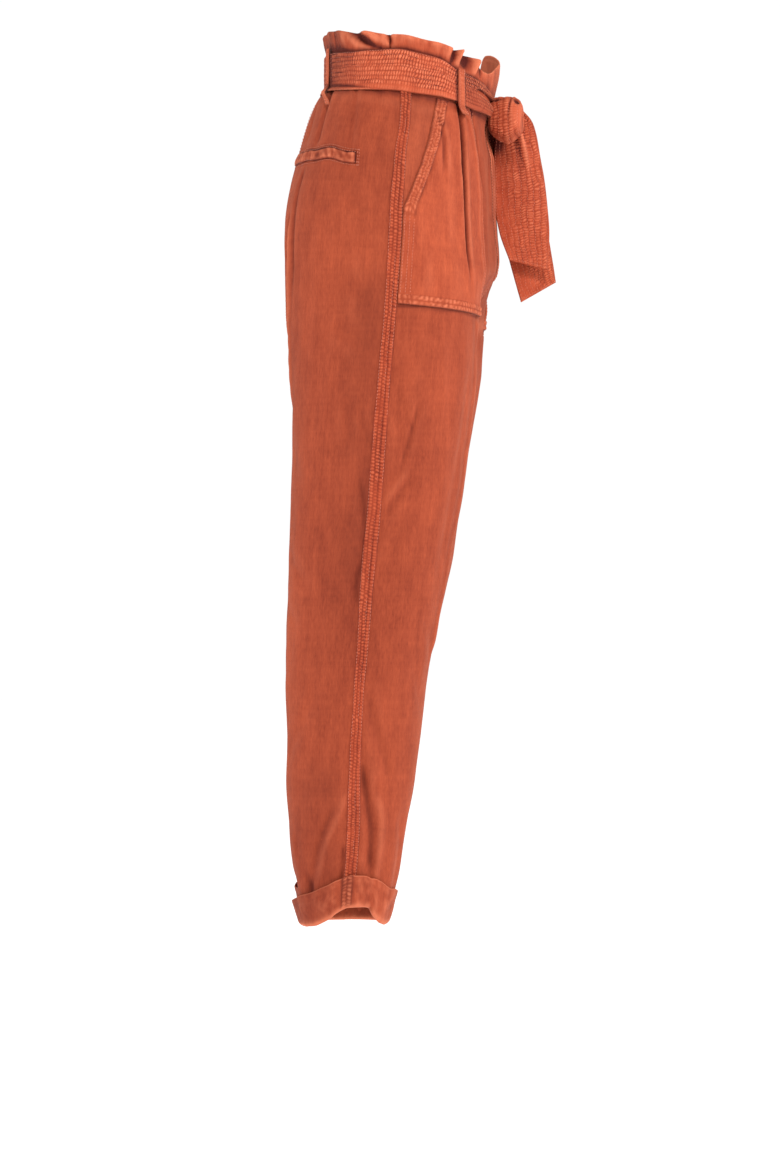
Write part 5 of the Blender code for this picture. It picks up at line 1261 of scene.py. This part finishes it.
makeTail("Belt_tail_near", "tail_near", tailNear, 640, 250, 61)
makeTail("Belt_tail_far", "tail_far", tailFar, 670, 200, 49)
print("tails made")


# belt loops
loopLook = {"wide": 9.0, "sewn": 8.5, "thick": 1.2}
loopNames = ("name", "part", "top", "bottom", "under", "dip", "slant")
loops = (("front", 0.676, 18.0, -31.0, -22.0, 9.5, 0.006), ("back", 0.150, 18.0, -44.0, -30.0, 15.5, 0.085))


def makeLoop(side, row):
    look, loop = loopLook, dict(zip(loopNames, row))
    seed = 700 + int(loop["part"] * 100) + (5 if side == "left" else 0)
    over, under = beltLook["off"] + 0.8, max(flareLevel - loop["under"], 0.0)
    stops = np.array(((loop["top"], over), (loop["top"] - 6, over), (-21.0, over + 0.2),
                      (loop["under"], over + 1.2 * under + 0.4), (loop["bottom"], loop["dip"])))
    height, share = crossed(np.linspace(loop["top"], loop["bottom"], 56), np.linspace(-1.0, 1.0, 13))
    crest = pucker(height, (share + 1) * look["sewn"] / 2, (1.0, 7.5), 4.2, seed, 0.3)
    edge = limit((1 - np.abs(share)) / 0.2) ** 0.5
    raised = fromTable(stops, height) + look["thick"] - 0.3 + 0.45 * edge + 0.2 * (crest - 0.4) * edge
    raised += 0.3 * wobble(height / 8, share, seed)
    turn = loop["part"] / 2 + share * look["wide"] / 2 / beltLook["round"] * (1 + 0.06 * wobble(height / 9, 0, seed))
    turn = turn + loop["slant"] / 2 * ease((-20.0 - height) / 24.0)
    points, way = ringPoint(1 - turn if side == "left" else turn, height, raised)
    # lighter on crests and edges, for wear and a painted highlight; painted shade at the lower end
    wornAndLit, paintedShade = 0.15 + limit(crest - 0.4) * 0.5 + 0.4 * (1 - edge), 0.7 * hump(height, loop["bottom"], 1.5)
    name = loop["name"] + "_" + side
    piece = shell("Loop_" + name, points, way, look["thick"], pocketCloth, (share * look["sewn"] / 2, height),
                  wornAndLit, paintedShade, soft=2)
    declare(piece, "loop_" + name, clothArea(points))
    lifted = points + way * 0.15
    rows = [lifted[2:-2, i] for i in (2, 10)] + [lifted[i, 1:-1] for i in (3, 5, 50, 52)]
    stitches("Loop_" + name + "_stitches", rows, 2.6, 2.0, 0.55, seed)


for side in sides:
    for row in loops:
        makeLoop(side, row)
print("loops made")


# cuffs: hems turned up once, standing off the leg at the top
cuffLook = {"high": 31.5, "columns": 250, "thick": 1.7}
cuffLine = np.array(((-1, 18), (-1, 8), (-0.9, 3), (0, 0.9), (1.7, 0), (3.5, 0.8), (4.5, 3.4), (4.8, 9), (5.2, 16),
                     (5.6, 24), (5.8, 31.6)))  # out from the leg, up from the fold
cuffShift = np.array((  # ahead of the side seam, foot and top edge over their usual places
    (-150, 0, -3), (-85, 0, -6.5), (-64, -0.5, -2), (-47, -1, 2.6), (-32, -6.5, 0.4), (-20, -9, -2.6),
    (-11, -6, -2), (0, -1, 2), (14, -0.5, 1.6), (22.5, -2, -2), (28, -10, -2), (34, -8.5, 1), (48, 0.5, 7.5),
    (80, 1, 3.5), (150, 0, 0)))


def makeCuff(side):
    look, seed = cuffLook, 800 if side == "right" else 830
    gone = lengthAlong(cuffLine)
    end = gone[-1]
    step = np.concatenate([np.linspace(0, end - 2.2, 44), end - np.array([1.6, 1.0, 0.5, 0.0])])[:, None]
    out, up = (smoothAt(step, gone, column) for column in cuffLine.T)
    front, back = float(rowLength(hemLevel, "front")), float(rowLength(hemLevel, "back"))
    turn = np.linspace(0.0, 1.0, look["columns"] + 1)[None, :-1]
    signed = front - turn * (front + back)
    signed = np.where(np.abs(signed) < 1e-6, 1e-6, signed)
    level, signed = np.broadcast_arrays(hemLevel + up, signed)
    place = np.where(signed >= 0, rowLength(level, "front") / front, rowLength(level, "back") / back) * signed
    loosened = limit((step - 17) / 26)
    loose = 2.6 * wobble(turn * 9, loosened * 0.8, seed) + 1.5 * wobble(turn * 26, loosened * 1.6, seed + 1)
    bent = 0.5 * wobble(turn * 60, step / 8, seed + 2)
    fold = hump(step, 16.5, 4)
    points, way = layRound(side, level, place, 0.0, folded=False)
    way = unit(way * np.array([1.0, 1.0, 0.0]))
    outside, fromSeam = ease((step - 22) / 3), np.abs(place + 2.2)
    seam = ease((5.0 - fromSeam) / 1.2) * outside
    ladder = pucker(step, place + 7.0, (0.2, 5.0, 9.6), 3.6, seed + 7, 0.2)
    crest = pucker(place, step, (16.0, 21.0, end - 7, end - 1.2), 6.6, seed, 0.4)
    off = out + loose * loosened + bent * (0.4 + fold) + 0.2 * (crest - 0.4) * ease((step - 14) / 4)
    points = points + way * (off + (0.9 + 0.8 * (ladder - 0.5)) * seam)[..., None]
    high = limit(up / look["high"])
    foot, head = fromTable(cuffShift, place, 1), fromTable(cuffShift, place, 2)
    points[..., 2] += 0.7 * wobble(turn * 10, 0, seed + 4) * loosened + foot * (1 - high) + head * high
    across = np.gradient(np.concatenate([points[:, -1:], points, points[:, :1]], axis=1), axis=1)[:, 1:-1]
    normal = unit(np.cross(across, np.gradient(points, axis=0)))
    normal *= np.sign((normal[-8] * way[-8]).sum(-1).mean())
    # lighter on the fold, the top edge, the crests and the seam's ladder: wear and a painted highlight
    wornAndLit = 0.35 * fold + 0.7 * limit(1 - (end - step) / 1.2) + 0.25 * limit(crest - 0.5) * loosened
    wornAndLit = wornAndLit + limit(ladder - 0.45) * 1.2 * seam
    # painted shade in the hollows, by the seam and over the back half
    paintedShade = limit(0.5 - crest) * 0.3 * loosened + 0.5 * hump(fromSeam, 5.0, 0.9) * outside
    paintedShade += (limit(0.5 - ladder) * 1.6 + 0.2) * seam + 0.36 * ease((-place - 6) / 30) * outside
    piece = shell("Cuff_" + side, points, normal, look["thick"], cloth, (place, level), wornAndLit, paintedShade, closed=True,
                  soft=2, wear=0.8)
    declare(piece, "cuff_" + side,
            clothArea(points, True))


for side in sides:
    makeCuff(side)
print("cuffs made")


# pale floor, white room, a sun and two lamps
stageLook = {"floorLevel": -1.106, "floorHalf": 14.0, "floor": colour(0.90, 0.90, 0.90), "floorGlow": 0.5,
             "room": 0.38, "seen": 1.02, "sun": 1.65, "softness": 16.0, "sunFrom": (-0.95, -0.22, 0.95),
             "backLamp": 63.0, "frontLamp": 82.0, "exposure": 0.0}


def makeFloor(look):
    paint, start, shader = newMaterial("pale floor")
    start.feed(shader, {"Base Color": look["floor"], "Roughness": 0.8, "Emission Color": look["floor"],
                        "Emission Strength": look["floorGlow"]})
    mesh, half = bpy.data.meshes.new("Floor"), look["floorHalf"]
    corners = [(x * half, y * half, look["floorLevel"]) for x, y in ((-1, -1), (1, -1), (1, 1), (-1, 1))]
    mesh.from_pydata(corners, [], [(0, 1, 2, 3)])
    mesh.materials.append(paint)
    placed("Floor", mesh)


def makeLight(look):
    sun = bpy.data.lights.new("Window light", "SUN")
    sun.energy, sun.angle, sun.color = look["sun"], math.radians(look["softness"]), (1.0, 0.99, 0.975)
    x, y, z = look["sunFrom"]
    placed("Window light", sun).rotation_euler = (math.atan2(math.hypot(x, y), z), 0.0, math.atan2(x, -y))
    for name, y, turned in (("backLamp", 3.2, -159.5), ("frontLamp", -3.2, -20.5)):
        lamp = bpy.data.lights.new(name, "AREA")
        lamp.size, lamp.energy = 2.2, look[name]
        made = placed(name, lamp)
        made.location, made.rotation_euler = (-1.2, y, 0.6), (math.radians(75), 0.0, math.radians(turned))
    world = bpy.data.worlds.new("white room")
    world.use_nodes = True
    start = Wire(world.node_tree)
    byCamera = start.node("ShaderNodeLightPath", out="Is Camera Ray")
    start.feed(world.node_tree.nodes["Background"], {
        "Color": colour(1.0, 1.0, 1.0), "Strength": byCamera * (look["seen"] - look["room"]) + look["room"]})
    bpy.context.scene.world = world


makeFloor(stageLook)
makeLight(stageLook)
scene = bpy.context.scene
scene.view_settings.view_transform = "Standard"
scene.view_settings.exposure = stageLook["exposure"]

cameraLook = {"place": (-4.0, 0.0106, -0.5406), "sensor": 36.0, "away": 3.91, "shown": 1.2402}
camera = placed("Camera", bpy.data.cameras.new("Camera"))
camera.location = cameraLook["place"]
camera.rotation_euler = (math.pi / 2, 0.0, -math.pi / 2)
camera.data.sensor_fit, camera.data.sensor_height = "VERTICAL", cameraLook["sensor"]
camera.data.lens = cameraLook["sensor"] * cameraLook["away"] / cameraLook["shown"]
scene.camera = camera
print("stage, light and camera made")
